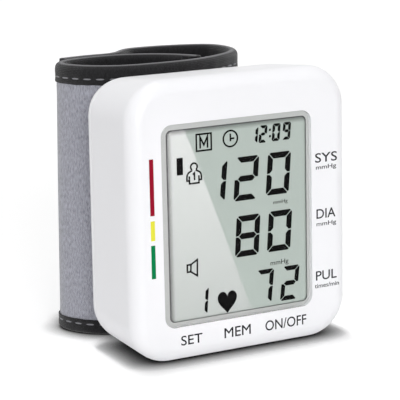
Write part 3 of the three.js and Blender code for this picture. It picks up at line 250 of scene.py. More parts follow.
def rounded_loft(width, height, corner, profile, steps=CORNER_STEPS):
    """A profile of inset and depth carried round a rectangle with round corners, with flat caps on its ends.
    Each corner is a quarter circle about a fixed middle whose radius is the corner radius less the inset."""
    inset, depth = np.asarray(profile, float).T
    turn = (np.arange(4)[:, None] * QUARTER + np.linspace(0, QUARTER, steps + 1)).ravel()
    side = np.array([[1, 1], [-1, 1], [-1, -1], [1, -1]], float)
    middle = np.repeat(side * [width / 2 - corner, height / 2 - corner], steps + 1, axis=0)
    radius = (corner - inset)[:, None, None]
    flat = middle + radius * np.column_stack([np.cos(turn), np.sin(turn)])
    points = np.concatenate([flat, np.broadcast_to(depth[:, None, None], (*flat.shape[:2], 1))], axis=2)
    return points.reshape(-1, 3), tube_faces(len(inset), len(turn))


def turned(profile):
    """A profile of radius and depth turned about its axis into a closed solid."""
    radius, depth = np.asarray(profile, float).T
    widest = radius.max()
    return rounded_loft(2 * widest, 2 * widest, widest, np.column_stack([widest - radius, depth]))


def quarter_round(radius, steps=LIP_STEPS):
    """Inset and depth along a quarter circle that turns from a face into a side."""
    turn = np.linspace(0, QUARTER, steps + 1)
    return np.column_stack([radius * (1 - np.sin(turn)), radius * (1 - np.cos(turn))])


def round_lip(radius, depth):
    """Profile of a cut with a rounded rim: a quarter circle from face to wall, then down to depth."""
    rim = quarter_round(radius)[::-1, ::-1] * [-1, 1]
    return np.vstack([[[-radius, -CUT_CLEAR]], rim, [[0, depth]]])


def cushioned(thickness, radius):
    """Profile of a plate whose two rims are rounded: quarter circles joined by a straight side."""
    front = quarter_round(radius)
    back = np.column_stack([front[::-1, 0], thickness - front[::-1, 1]])
    return np.vstack([front, back])


def block(low, high, radius):
    """A bar between two corners in millimetres with its long rims rounded."""
    low, high = np.array(low) * MM, np.array(high) * MM
    size = high - low
    shape = rounded_loft(size[0], size[1], radius * MM, cushioned(size[2], radius * MM), BAR_STEPS)
    return placed(shape, [(low[0] + high[0]) / 2, (low[1] + high[1]) / 2, low[2]], FACING_DOWN)


def stroke(path, width, depth, closed=False):
    """A line of even width along a flat path: each point moves sideways along the mitre of its two
    neighbouring normals, and the strip is given a depth."""
    path = np.asarray(path, float)
    step = np.roll(path, -1, axis=0) - path
    normal = np.column_stack([-step[:, 1], step[:, 0]]) / np.linalg.norm(step, axis=1)[:, None]
    before = np.roll(normal, 1, axis=0)
    if not closed:
        normal[-1] = before[-1]
        before[0] = normal[0]
    mitre = (normal + before) / (1 + np.sum(normal * before, axis=1))[:, None] * width / 2
    left, right = path + mitre, path - mitre
    zero = np.zeros((len(path), 1))
    corners = [np.hstack([left, zero]), np.hstack([right, zero]),
               np.hstack([right, zero + depth]), np.hstack([left, zero + depth])]
    return np.stack(corners, axis=1).reshape(-1, 3), tube_faces(len(path), len(corners), closed)


def plate(outline, depth):
    """A flat outline given a depth: two caps and a wall of quads."""
    outline = np.asarray(outline, float)
    front = np.column_stack([outline, np.zeros(len(outline))])
    return np.vstack([front, front + [0, 0, depth]]), tube_faces(2, len(outline))


def outward_mesh(name, shape, weld=True):
    """A mesh of a shape, with doubled points welded and every closed shell facing outwards."""
    points, faces = shape
    mesh = bpy.data.meshes.new(name)
    mesh.from_pydata(np.asarray(points).tolist(), [], faces)
    work = bmesh.new()
    work.from_mesh(mesh)
    if weld:
        bmesh.ops.remove_doubles(work, verts=work.verts, dist=WELD)
    bmesh.ops.recalc_face_normals(work, faces=work.faces)
    if work.calc_volume(signed=True) < 0:
        bmesh.ops.reverse_faces(work, faces=work.faces)
    work.to_mesh(mesh)
    work.free()
    return mesh


def new_object(name, data):
    """An object at the origin that carries a mesh, letters, a lamp or a camera."""
    made = bpy.data.objects.new(name, data)
    bpy.context.scene.collection.objects.link(made)
    return made


def solid(name, shape):
    """An object that carries a closed shape, still to be cut and dressed."""
    return new_object(name, outward_mesh(name, shape))


def add_piece(name, shape, finish, slot, body="case", stands_for=()):
    """A finished piece: smooth apart from its sharp edges, on its body, with its replaced nodes hidden."""
    made = solid(name, shape)
    dress(made, finish, slot, body, stands_for)
    return made


def dress(made, finish, slot, body, stands_for, sharp=SHARP_ANGLE):
    """Shading, finish and body of a piece whose mesh is ready; the slot is not used."""
    made.data.shade_smooth()
    made.data.set_sharp_from_angle(angle=math.radians(sharp))
    made.data.materials.clear()
    made.data.materials.append(finish)
    if stands_for:
        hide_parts(*stands_for)
    if body:
        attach(made, body)


def baked_mesh(made):
    """The mesh that an object shows once its modifiers or letters are worked out."""
    return bpy.data.meshes.new_from_object(made.evaluated_get(bpy.context.evaluated_depsgraph_get()))


def carved(made, shapes, operation="DIFFERENCE"):
    """Cuts shapes out of an object, or joins them to it, and keeps the result as its mesh."""
    tools = [solid("carving_tool", shape) for shape in shapes]
    for tool in tools:
        step = made.modifiers.new("carve", "BOOLEAN")
        step.operation = operation
        step.solver = "EXACT"
        step.object = tool
    result = baked_mesh(made)
    made.modifiers.clear()
    before = made.data
    made.data = result
    result.name = made.name
    bpy.data.meshes.remove(before)
    for tool in tools:
        bpy.data.meshes.remove(tool.data)


def even_normals(made):
    """Flat faces keep their own normal where they meet a round, so that gloss runs evenly over them."""
    weigh = made.modifiers.new("even normals", "WEIGHTED_NORMAL")
    weigh.keep_sharp = True
    weigh.weight = FLAT_WEIGHT


# Finishes

CLOTH_ROUGHNESS = 0.9
FLECK_RANGE = (0.3, 0.7)
SLUB_SHARE = 0.35
# Share and darkness of the painted shade in the hollows between the yarns.
HOLLOW_SHADE_SHARE = 0.3
HOLLOW_SHADE_DARK = 0.35
METAL_SPREAD = (-0.1, 0.15)
METAL_LINE_DEPTH = 0.004
TARNISH_DARK = 0.8
TRACK_DEPTH = 0.02


def add_node(tree, kind, **settings):
    """A shader node of a kind, with its settings."""
    node = tree.nodes.new("ShaderNode" + kind)
    for key, value in settings.items():
        setattr(node, key, value)
    return node


def object_place(tree):
    """The place on the object that a pattern reads."""
    return add_node(tree, "TexCoord").outputs["Object"]


def strap_place(tree):
    """The strap coordinates that a weave reads: X along the strap and Y up it."""
    return add_node(tree, "Attribute", attribute_name="strap").outputs["Vector"]


def parts_of(tree, place):
    """The X, Y and Z of a place, as sockets."""
    node = add_node(tree, "SeparateXYZ")
    tree.links.new(place, node.inputs[0])
    return node.outputs


def mapped(tree, place, change, amount):
    """A place changed by a Mapping node's Scale or Rotation."""
    node = add_node(tree, "Mapping")
    node.inputs[change].default_value = amount
    tree.links.new(place, node.inputs["Vector"])
    return node.outputs["Vector"]


def maths(tree, operation, first, second=None):
    """A Math node on two sockets or numbers; gives its output."""
    node = add_node(tree, "Math", operation=operation)
    for socket, value in zip(node.inputs, (first, second)):
        if isinstance(value, bpy.types.NodeSocket):
            tree.links.new(value, socket)
        elif value is not None:
            socket.default_value = value
    return node.outputs[0]


def noise(tree, place, scale, detail=2.0, rough=0.5):
    """A noise texture at a place; gives its value."""
    node = add_node(tree, "TexNoise")
    node.inputs["Scale"].default_value = scale
    node.inputs["Detail"].default_value = detail
    node.inputs["Roughness"].default_value = rough
    tree.links.new(place, node.inputs["Vector"])
    return node.outputs["Fac"]


def ranged(tree, value, source, target, kind="LINEAR"):
    """A value that runs over a source range moved to run over a target range, held at its ends."""
    node = add_node(tree, "MapRange", interpolation_type=kind)
    for socket, amount in zip(("From Min", "From Max", "To Min", "To Max"), (*source, *target)):
        node.inputs[socket].default_value = amount
    tree.links.new(value, node.inputs["Value"])
    return node.outputs["Result"]


def between(tree, value, low, high):
    """A value from 0 to 1 moved to run from low to high."""
    return ranged(tree, value, (0, 1), (low, high))


def blended(tree, factor, first, second):
    """A colour between two colours by a factor."""
    node = add_node(tree, "Mix", data_type="RGBA")
    tree.links.new(factor, node.inputs["Factor"])
    for name, value in (("A", first), ("B", second)):
        socket = next(s for s in node.inputs if s.name == name and s.type == "RGBA")
        if isinstance(value, bpy.types.NodeSocket):
            tree.links.new(value, socket)
        else:
            socket.default_value = (*value, 1)
    return next(s for s in node.outputs if s.type == "RGBA")


def scaled(colour, factor):
    """A colour made darker or lighter by a factor."""
    return tuple(part * factor for part in colour)


def feed(tree, name, value):
    """Joins a value to a socket of the material's shader."""
    tree.links.new(value, tree.nodes["Principled BSDF"].inputs[name])


def overlay(tree, factor, colour):
    """Blends a colour over what already feeds the shader's base colour."""
    below = tree.nodes["Principled BSDF"].inputs["Base Color"].links[0].from_socket
    feed(tree, "Base Color", blended(tree, factor, below, colour))


def new_group(name, values, results):
    """An empty shader group that reads a place and values; gives the tree, its inputs and its outputs."""
    tree = bpy.data.node_groups.new(name, "ShaderNodeTree")
    tree.interface.new_socket("Place", in_out="INPUT", socket_type="NodeSocketVector")
    for side, labels in (("INPUT", values), ("OUTPUT", results)):
        for label in labels:
            tree.interface.new_socket(label, in_out=side, socket_type="NodeSocketFloat")
    return tree, tree.nodes.new("NodeGroupInput").outputs, tree.nodes.new("NodeGroupOutput").inputs


def moulded_grain():
    """Group for moulded plastic: a fine eggshell height, and a slow smudge mask for its gloss."""
    name = "moulded grain"
    if name in bpy.data.node_groups:
        return bpy.data.node_groups[name]
    tree, start, end = new_group(name, ["Grain"], ["Height", "Smudge"])
    fine = add_node(tree, "TexNoise")
    fine.inputs["Detail"].default_value = 3
    tree.links.new(start["Place"], fine.inputs["Vector"])
    tree.links.new(start["Grain"], fine.inputs["Scale"])
    tree.links.new(fine.outputs["Fac"], end["Height"])
    tree.links.new(noise(tree, start["Place"], scale=90, detail=3, rough=0.6), end["Smudge"])
    return tree


def yarn_weave():
    """Group for cloth on strap coordinates, where X runs along the strap and Y up it: crossed yarns as the
    product of two sines, broken up yarn by yarn, with a slow heather fleck."""
    name = "yarn weave"
    if name in bpy.data.node_groups:
        return bpy.data.node_groups[name]
    tree, start, end = new_group(name, ["Yarn", "Rise"], ["Height", "Fleck", "Slub"])
    place = parts_of(tree, start["Place"])
    wobble = between(tree, noise(tree, start["Place"], scale=900, detail=1), -0.9, 0.9)
    waves = []
    for axis, pitch in (("X", "Yarn"), ("Y", "Rise")):
        turn = maths(tree, "ADD", maths(tree, "MULTIPLY", place[axis], start[pitch]), wobble)
        waves.append(maths(tree, "SINE", turn))
    tree.links.new(ranged(tree, maths(tree, "MULTIPLY", *waves), (-1, 1), (0, 1)), end["Height"])
    drawn_out = mapped(tree, start["Place"], "Scale", (1, 0.32, 1))
    tree.links.new(noise(tree, drawn_out, scale=2600, detail=2, rough=0.75), end["Fleck"])
    tree.links.new(noise(tree, drawn_out, scale=420, detail=3, rough=0.6), end["Slub"])
    return tree


def plain_finish(name, colour, roughness, **sockets):
    """A Principled finish; a keyword's underscores stand for the spaces in a socket's name."""
    material = bpy.data.materials.new(name)
    material.use_nodes = True
    shader = material.node_tree.nodes["Principled BSDF"]
    shader.inputs["Base Color"].default_value = (*colour, 1)
    shader.inputs["Roughness"].default_value = roughness
    for key, value in sockets.items():
        shader.inputs[key.replace("_", " ")].default_value = value
    return material


def put_group(tree, group, place, **values):
    """A group placed in a material's tree, reading a place and its own values; gives its outputs."""
    node = tree.nodes.new("ShaderNodeGroup")
    node.node_tree = group
    tree.links.new(place, node.inputs["Place"])
    for key, value in values.items():
        node.inputs[key].default_value = value
    return node.outputs


def put_bump(tree, height, distance):
    """A Bump node from a height, with its distance in millimetres, to the shader's normal."""
    node = add_node(tree, "Bump")
    node.inputs["Distance"].default_value = distance * MM
    node.inputs["Strength"].default_value = 1
    tree.links.new(height, node.inputs["Height"])
    feed(tree, "Normal", node.outputs["Normal"])


def moulded_finish(name, colour, roughness, grain=2500, depth=0.006, spread=0.06, mottle=0.03, **sockets):
    """Moulded plastic or rubber: an eggshell grain, gloss that varies slowly and a hint of mottled colour."""
    material = plain_finish(name, colour, roughness, **sockets)
    tree = material.node_tree
    plastic = put_group(tree, moulded_grain(), object_place(tree), Grain=grain)
    smudge = plastic["Smudge"]
    feed(tree, "Roughness", between(tree, smudge, roughness - spread, roughness + spread))
    feed(tree, "Base Color", blended(tree, smudge, scaled(colour, 1 - mottle), colour))
    put_bump(tree, plastic["Height"], depth)
    return material


def cloth_finish(name, colour, yarn, rise, depth, heather, sheen):
    """Cloth on strap coordinates: heather flecks between two shades, slubs, yarn height with painted shade in
    the hollows between the yarns, and a soft sheen.
    Yarn and rise are the weave's pitch along and up the strap in millimetres."""
    material = plain_finish(name, colour, CLOTH_ROUGHNESS, Sheen_Weight=sheen, Sheen_Roughness=0.45,
                            Specular_IOR_Level=0.25)
    tree = material.node_tree
    cloth = put_group(tree, yarn_weave(), strap_place(tree), Yarn=2 * math.pi / (yarn * MM),
                      Rise=2 * math.pi / (rise * MM))
    dark = scaled(colour, 1 - heather)
    light = tuple(min(1, part) for part in scaled(colour, 1 + heather))
    hollow_shade = scaled(colour, HOLLOW_SHADE_DARK)
    flecked = blended(tree, ranged(tree, cloth["Fleck"], FLECK_RANGE, (0, 1)), dark, light)
    slubbed = blended(tree, between(tree, cloth["Slub"], 0, SLUB_SHARE), flecked, dark)
    # Painted shade: the colour darkens where the yarns sink.
    sunk = between(tree, cloth["Height"], HOLLOW_SHADE_SHARE, 0)
    feed(tree, "Base Color", blended(tree, sunk, slubbed, hollow_shade))
    put_bump(tree, cloth["Height"], depth)
    return material


def metal_finish(name, colour, roughness):
    """Plated metal: fine drawn lines in the gloss, with a slow tarnish."""
    material = plain_finish(name, colour, roughness, Metallic=1.0)
    tree = material.node_tree
    place = object_place(tree)
    lines = noise(tree, mapped(tree, place, "Scale", (1, 1, 0.05)), scale=3200)
    feed(tree, "Roughness", between(tree, lines, *[roughness + spread for spread in METAL_SPREAD]))
    tarnish = noise(tree, place, scale=150, detail=3)
    feed(tree, "Base Color", blended(tree, tarnish, scaled(colour, TARNISH_DARK), colour))
    put_bump(tree, lines, METAL_LINE_DEPTH)
    return material


def board_finish():
    """Green circuit board: solder mask with lighter tracks showing under it in a pattern of bricks."""
    green = (0.012, 0.11, 0.045)
    track_green = (0.03, 0.2, 0.08)
    material = plain_finish("circuit board", green, 0.35)
    tree = material.node_tree
    tracks = add_node(tree, "TexBrick", offset=0.5)
    tracks.inputs["Scale"].default_value = 260
    tracks.inputs["Mortar Size"].default_value = 0.03
    upright = mapped(tree, object_place(tree), "Rotation", (QUARTER, 0, 0))
    tree.links.new(upright, tracks.inputs["Vector"])
    feed(tree, "Base Color", blended(tree, tracks.outputs["Fac"], green, track_green))
    put_bump(tree, tracks.outputs["Fac"], TRACK_DEPTH)
    return material


def window_finish():
    """Clear window: polished glass that lets all light through to the display and hardly mirrors."""
    material = plain_finish("clear lens", (0.985, 0.995, 0.99), 0.0, Transmission_Weight=1.0, IOR=1.05)
    tree = material.node_tree
    rays = add_node(tree, "LightPath").outputs
    through = add_node(tree, "BsdfTransparent")
    mix = add_node(tree, "MixShader")
    lighting = maths(tree, "MAXIMUM", rays["Is Shadow Ray"], rays["Is Diffuse Ray"])
    tree.links.new(lighting, mix.inputs["Fac"])
    tree.links.new(tree.nodes["Principled BSDF"].outputs[0], mix.inputs[1])
    tree.links.new(through.outputs[0], mix.inputs[2])
    tree.links.new(mix.outputs[0], tree.nodes["Material Output"].inputs["Surface"])
    return material


def panel_finish(colour):
    """Reflective display panel: part of its grey-green mirrors softly, as the foil behind the crystal does, and
    a painted shadow of the border darkens it beside the border on the left and at the top."""
    material = moulded_finish("display panel", colour, 0.06, grain=9000, depth=0.0001, spread=0.02,
                              mottle=0.04, Metallic=0.25)
    tree = material.node_tree
    place = parts_of(tree, object_place(tree))
    from_left = maths(tree, "SUBTRACT", place["X"], LENS_LOW.x + PANEL_LEFT)
    from_top = maths(tree, "SUBTRACT", LENS_HIGH.z - PANEL_TOP, place["Z"])
    nearer = maths(tree, "MINIMUM", from_left, from_top)
    # Painted shadow of the border, darkest at the panel's left and top edges.
    overlay(tree, ranged(tree, nearer, (0, PANEL_SHADE), (PANEL_SHADE_DARK, 0), "SMOOTHSTEP"), (0, 0, 0))
    return material


# Case

def middle_of(name):
    """Middle of a node's box in the frame."""
    low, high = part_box(name)
    return (low + high) / 2


LENS_LOW, LENS_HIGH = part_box("display_lens")
LENS_X = middle_of("display_lens").x
LENS_Z = middle_of("display_lens").z
LENS_WIDTH = LENS_HIGH.x - LENS_LOW.x
LENS_HEIGHT = LENS_HIGH.z - LENS_LOW.z
LENS_THICKNESS = LENS_HIGH.y - LENS_LOW.y
LENS_CORNER = 3 * MM
LENS_LEDGE = 0.6 * MM
RECESS_DEPTH = 1.55 * MM
PRINT_HEIGHT = 0.03 * MM
FLAT_RING = 0.5 * MM
# Place, reach and darkness of the painted shadow of the border on the panel.
PANEL_LEFT = 2.5 * MM
PANEL_TOP = 1.95 * MM
PANEL_SHADE = 1.6 * MM
PANEL_SHADE_DARK = 0.55
SEAM_ROUND = 0.15 * MM
SEAM_STEPS = 3
TOP_DRAFT = 2.27 * MM
LEFT_DRAFT = 0.6 * MM
LOW_DRAFT = 2 * MM
CORNER_KEEP = 0.6

KEYS = ("set", "memory", "power")
KEY_MIDDLES = [middle_of(name + "_button").x for name in KEYS]
KEY_Y = FRONT_Y + 11 * MM
KEY_WIDTH = 10.5 * MM
KEY_DEPTH = 5 * MM
KEY_FIT = 0.25 * MM
CHANNEL_MARGIN = 1.2 * MM
CHANNEL_DEPTH = 1 * MM
CHANNEL_FLOOR = 1.8 * MM
CHANNEL_ROUND = 0.4

DOOR_LOW, DOOR_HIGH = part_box("battery_door")
DOOR_TAB_REACH = 1.3 * MM
DOOR_FIT = 0.25 * MM
DOOR_THICKNESS = 1.5 * MM
DOOR_Y = (DOOR_LOW.y + DOOR_HIGH.y) / 2
DOOR_Z = (DOOR_LOW.z + DOOR_TAB_REACH + DOOR_HIGH.z) / 2
DOOR_WIDTH = DOOR_HIGH.y - DOOR_LOW.y
DOOR_LENGTH = DOOR_HIGH.z - DOOR_LOW.z - DOOR_TAB_REACH
DOOR_CORNER = 0.8 * MM
DOORWAY_PAST_SEAM = 2 * MM

SCREWS = [f"case_screw_{i}" for i in range(1, 5)]
SCREW_HEAD = 2 * MM
SCREW_HEAD_HEIGHT = 1.3 * MM
SCREW_ROOM = 0.3 * MM

GRILLE_X = middle_of("speaker").x
GRILLE_Z = middle_of("speaker").z
GRILLE_RADIUS = 4 * MM
GRILLE_HOLE = 0.9 * MM
GRILLE_COUNT = 6


def shell_profile(depth, edge, wall, face_wall):
    """Inset and depth round a cup's wall: flat face, quarter-circle edge, side, small round at the seam, and
    the same way back along the inner wall."""
    outer_edge = quarter_round(edge, EDGE_STEPS)
    seam = quarter_round(SEAM_ROUND, SEAM_STEPS)
    lip = np.column_stack([seam[:, 1], depth - seam[:, 0]])
    inner_edge = quarter_round(edge - wall, EDGE_STEPS) + [wall, face_wall]
    return np.vstack([[[edge + FLAT_RING, 0]], outer_edge, lip, [[wall, depth]], inner_edge[::-1],
                      [[edge + FLAT_RING, face_wall]]])


def drafted(shape, edge):
    """The case draws in behind its front edge: an even slope towards the back lowers the top, most at its rim
    and less at its left corner, leans the left side inwards, most at its upper end, and lifts the lower left
    corner."""
    points, faces = shape
    x, y, z = points.T
    back = np.clip((y - FRONT_Y - edge) / (BACK_Y - FRONT_Y - edge), 0, 1)
    top = np.clip(z / CASE_MIDDLE_Z - 1, 0, 1) ** 2
    low = np.clip(1 - z / CASE_MIDDLE_Z, 0, 1) ** 2
    left = np.clip(-2 * x / CASE_WIDTH, 0, 1)
    moved_x = x + LEFT_DRAFT * back * left * z / CASE_HEIGHT
    lowered = TOP_DRAFT * back * top * (1 - CORNER_KEEP * left ** 6)
    return np.column_stack([moved_x, y, z - lowered + LOW_DRAFT * back * low * left ** 3]), faces


def hole(x, z, radius, depth, lip):
    """A round hole in the back, with a rounded rim."""
    shape = rounded_loft(2 * radius, 2 * radius, radius, round_lip(lip, depth), HOLE_STEPS)
    return placed(shape, (x, BACK_Y, z), FACING_BACK)


class MONITOR_OT_case(bpy.types.Operator):
    """Front and rear shells with their openings"""

    bl_idname = "monitor.case"
    bl_label = "Case"

    def execute(self, context):
        settings = context.scene.monitor_case
        self.white = moulded_finish("white case", settings.white, 0.36, grain=1400, depth=0.0025, spread=0.05,
                                    mottle=0.015, Coat_Weight=0.1, Coat_Roughness=0.2)
        self.front(settings, context.scene.monitor_display)
        self.rear(settings)
        return {"FINISHED"}

    def cup(self, name, profile, settings, face, axes):
        """A wall profile carried round the case from one of its faces, and drawn in towards the back."""
        shape = rounded_loft(CASE_WIDTH, CASE_HEIGHT, settings.corner, profile)
        return solid(name, drafted(placed(shape, (0, face, CASE_MIDDLE_Z), axes), settings.edge))

    def finish(self, shell, node):
        """White plastic with even gloss for a shell that is fully cut."""
        dress(shell, self.white, "white_case", "case", [node])
        even_normals(shell)

    def front(self, settings, display):
        """A cup with the window's recess and opening, the key channel and holes, and the battery doorway."""
        profile = shell_profile(SEAM_Y - FRONT_Y, settings.edge, settings.wall, settings.face_wall)
        profile[:, 1] = np.maximum(profile[:, 1], PRINT_HEIGHT)
        shell = self.cup("front_shell", profile, settings, FRONT_Y, FACING_FRONT)
        carved(shell, [self.channel_floor(settings)], "UNION")
        window = (LENS_X, FRONT_Y, LENS_Z)
        cuts = [placed(cut, window, FACING_FRONT) for cut in self.window_cuts(settings, display)]
        cuts += self.key_cuts(settings)
        cuts.append(self.doorway(settings))
        carved(shell, cuts)
        self.finish(shell, "front_case")

    def window_cuts(self, settings, display):
        """The window's shallow recess, and the smaller opening behind it that leaves a ledge."""
        gap = 2 * display.gap
        recess = rounded_loft(LENS_WIDTH + gap, LENS_HEIGHT + gap, LENS_CORNER + display.gap,
                              round_lip(display.rim, RECESS_DEPTH))
        opening = rounded_loft(LENS_WIDTH - 2 * LENS_LEDGE, LENS_HEIGHT - 2 * LENS_LEDGE,
                               LENS_CORNER - LENS_LEDGE, [(0, RECESS_DEPTH / 2), (0, 2 * settings.face_wall)])
        return recess, opening

    def channel_floor(self, settings):
        """A bar behind the lower wall that the key channel is sunk into."""
        ends = KEY_WIDTH / 2 + 2 * CHANNEL_MARGIN
        low = np.array([KEY_MIDDLES[0] - ends, KEY_Y - KEY_DEPTH, settings.wall / 2])
        high = np.array([KEY_MIDDLES[2] + ends, KEY_Y + KEY_DEPTH, CHANNEL_DEPTH + CHANNEL_FLOOR])
        return block(low / MM, high / MM, CHANNEL_ROUND)

    def key_cuts(self, settings):
        """A channel with round ends in the lower edge, and a hole in it for each key."""
        reach = KEY_MIDDLES[2] - KEY_MIDDLES[0] + KEY_WIDTH
        depth = KEY_DEPTH + 2 * CHANNEL_MARGIN
        channel = rounded_loft(reach + 2 * CHANNEL_MARGIN, depth, depth / 2,
                               round_lip(2 * settings.lip, CHANNEL_DEPTH))
        key_hole = rounded_loft(KEY_WIDTH + 2 * KEY_FIT, KEY_DEPTH + 2 * KEY_FIT, KEY_DEPTH / 2 + KEY_FIT,
                                [(0, CHANNEL_DEPTH / 2), (0, CHANNEL_DEPTH + 2 * CHANNEL_FLOOR)])
        holes = [placed(key_hole, (x, KEY_Y, 0), FACING_DOWN) for x in KEY_MIDDLES]
        return [placed(channel, (KEY_MIDDLES[1], KEY_Y, 0), FACING_DOWN), *holes]

    def doorway(self, settings):
        """The battery door's opening in the right side, open towards the seam."""
        front = DOOR_LOW.y - DOOR_FIT
        back = SEAM_Y + DOORWAY_PAST_SEAM
        shape = rounded_loft(back - front, DOOR_LENGTH + 2 * DOOR_FIT, DOOR_CORNER + DOOR_FIT,
                             round_lip(settings.lip, 2 * settings.wall), DOOR_STEPS)
        return placed(shape, (RIGHT_X, (front + back) / 2, DOOR_Z), FACING_RIGHT)

    def rear(self, settings):
        """A shallow cup with sunk screw holes and the speaker's ring of holes."""
        depth = BACK_Y - SEAM_Y - settings.seam
        profile = shell_profile(depth, min(settings.edge, depth - SEAM_ROUND), settings.wall, settings.wall)
        shell = self.cup("rear_shell", profile, settings, BACK_Y, FACING_BACK)
        sunk = SCREW_HEAD_HEIGHT + SCREW_ROOM
        cuts = [hole(middle.x, middle.z, SCREW_HEAD + SCREW_ROOM, sunk, settings.lip)
                for middle in map(middle_of, SCREWS)]
        cuts += [hole(GRILLE_X + GRILLE_RADIUS * math.cos(turn), GRILLE_Z + GRILLE_RADIUS * math.sin(turn),
                      GRILLE_HOLE, 2 * settings.wall, settings.lip) for turn in even_turns(GRILLE_COUNT)]
        carved(shell, cuts)
        self.finish(shell, "rear_case")


class MONITOR_OT_screws(bpy.types.Operator):
    """Round-headed case screws with a cross drive"""

    bl_idname = "monitor.screws"
    bl_label = "Screws"

    dome = 0.25 * MM
    dome_steps = 6
    dome_flat = 0.2 * MM
    shank_radius = 1 * MM
    tip_length = 0.8 * MM
    tip_radius = 0.3 * MM
    arm_width = 0.5 * MM
    arm_reach = 1.3 * MM
    arm_corner = 0.2 * MM
    arm_flare = 0.15 * MM
    drive_depth = 0.65 * MM

    def execute(self, context):
        steel = metal_finish("plated steel", (0.58, 0.59, 0.61), 0.3)
        bow = quarter_round(1, self.dome_steps)
        head = np.column_stack([SCREW_HEAD * (1 - bow[:, 0]), self.dome * bow[:, 1]])
        head[0, 0] = self.dome_flat
        arm = rounded_loft(2 * self.arm_reach, self.arm_width, self.arm_corner,
                           [(-self.arm_flare, -self.dome), (0, self.drive_depth)], BAR_STEPS)
        other_arm = arm[0][:, [1, 0, 2]], arm[1]
        for name in SCREWS:
            low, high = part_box(name)
            length = high.y - low.y
            shank = [(SCREW_HEAD, SCREW_HEAD_HEIGHT), (self.shank_radius, SCREW_HEAD_HEIGHT),
                     (self.shank_radius, length - self.tip_length), (self.tip_radius, length)]
            middle = middle_of(name)
            place = (middle.x, high.y, middle.z)
            screw = solid(name + "_turned", placed(turned(np.vstack([head, shank])), place, FACING_BACK))
            carved(screw, [placed(part, place, FACING_BACK) for part in (arm, other_arm)])
            dress(screw, steel, "steel", "case", [name])
        return {"FINISHED"}


class MONITOR_OT_keys(bpy.types.Operator):
    """Crowned satin keys in the lower edge"""

    bl_idname = "monitor.keys"
    bl_label = "Keys"

    crown_margin = 0.15 * MM
    crown_steps = 8
    crown_power = 1.6
    lip_gap = 0.1 * MM
    lip_margin = 1.05 * MM
    lip_height = 0.8 * MM
    stem_radius = 1.1 * MM
    stem_root = 0.7 * MM

    def execute(self, context):
        settings = context.scene.monitor_case
        satin = moulded_finish("satin key", settings.key_grey, 0.42, grain=3000, depth=0.012, mottle=0.04)
        bow = quarter_round(1, self.crown_steps)
        dome = KEY_DEPTH / 2 - self.crown_margin
        crown = np.column_stack([dome * bow[:, 0] ** self.crown_power, settings.key_crown * bow[:, 1]])
        for name in KEYS:
            low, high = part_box(name + "_button")
            lip = CHANNEL_DEPTH + CHANNEL_FLOOR + self.lip_gap - low.z
            flange = [(0, lip), (-self.lip_margin, lip), (-self.lip_margin, lip + self.lip_height),
                      (0, lip + self.lip_height)]
            cap = rounded_loft(KEY_WIDTH, KEY_DEPTH, KEY_DEPTH / 2, np.vstack([crown, flange]))
            stem = turned([(self.stem_radius, lip + self.stem_root), (self.stem_radius, high.z - low.z)])
            middle = (low.x + high.x) / 2
            shape = merged([placed(cap, (middle, KEY_Y, low.z), FACING_DOWN),
                            placed(stem, (middle, high.y - self.stem_radius, low.z), FACING_DOWN)])
            add_piece(name + "_key_cap", shape, satin, "key", name + "_key", [name + "_button"])
        return {"FINISHED"}


# Battery bay

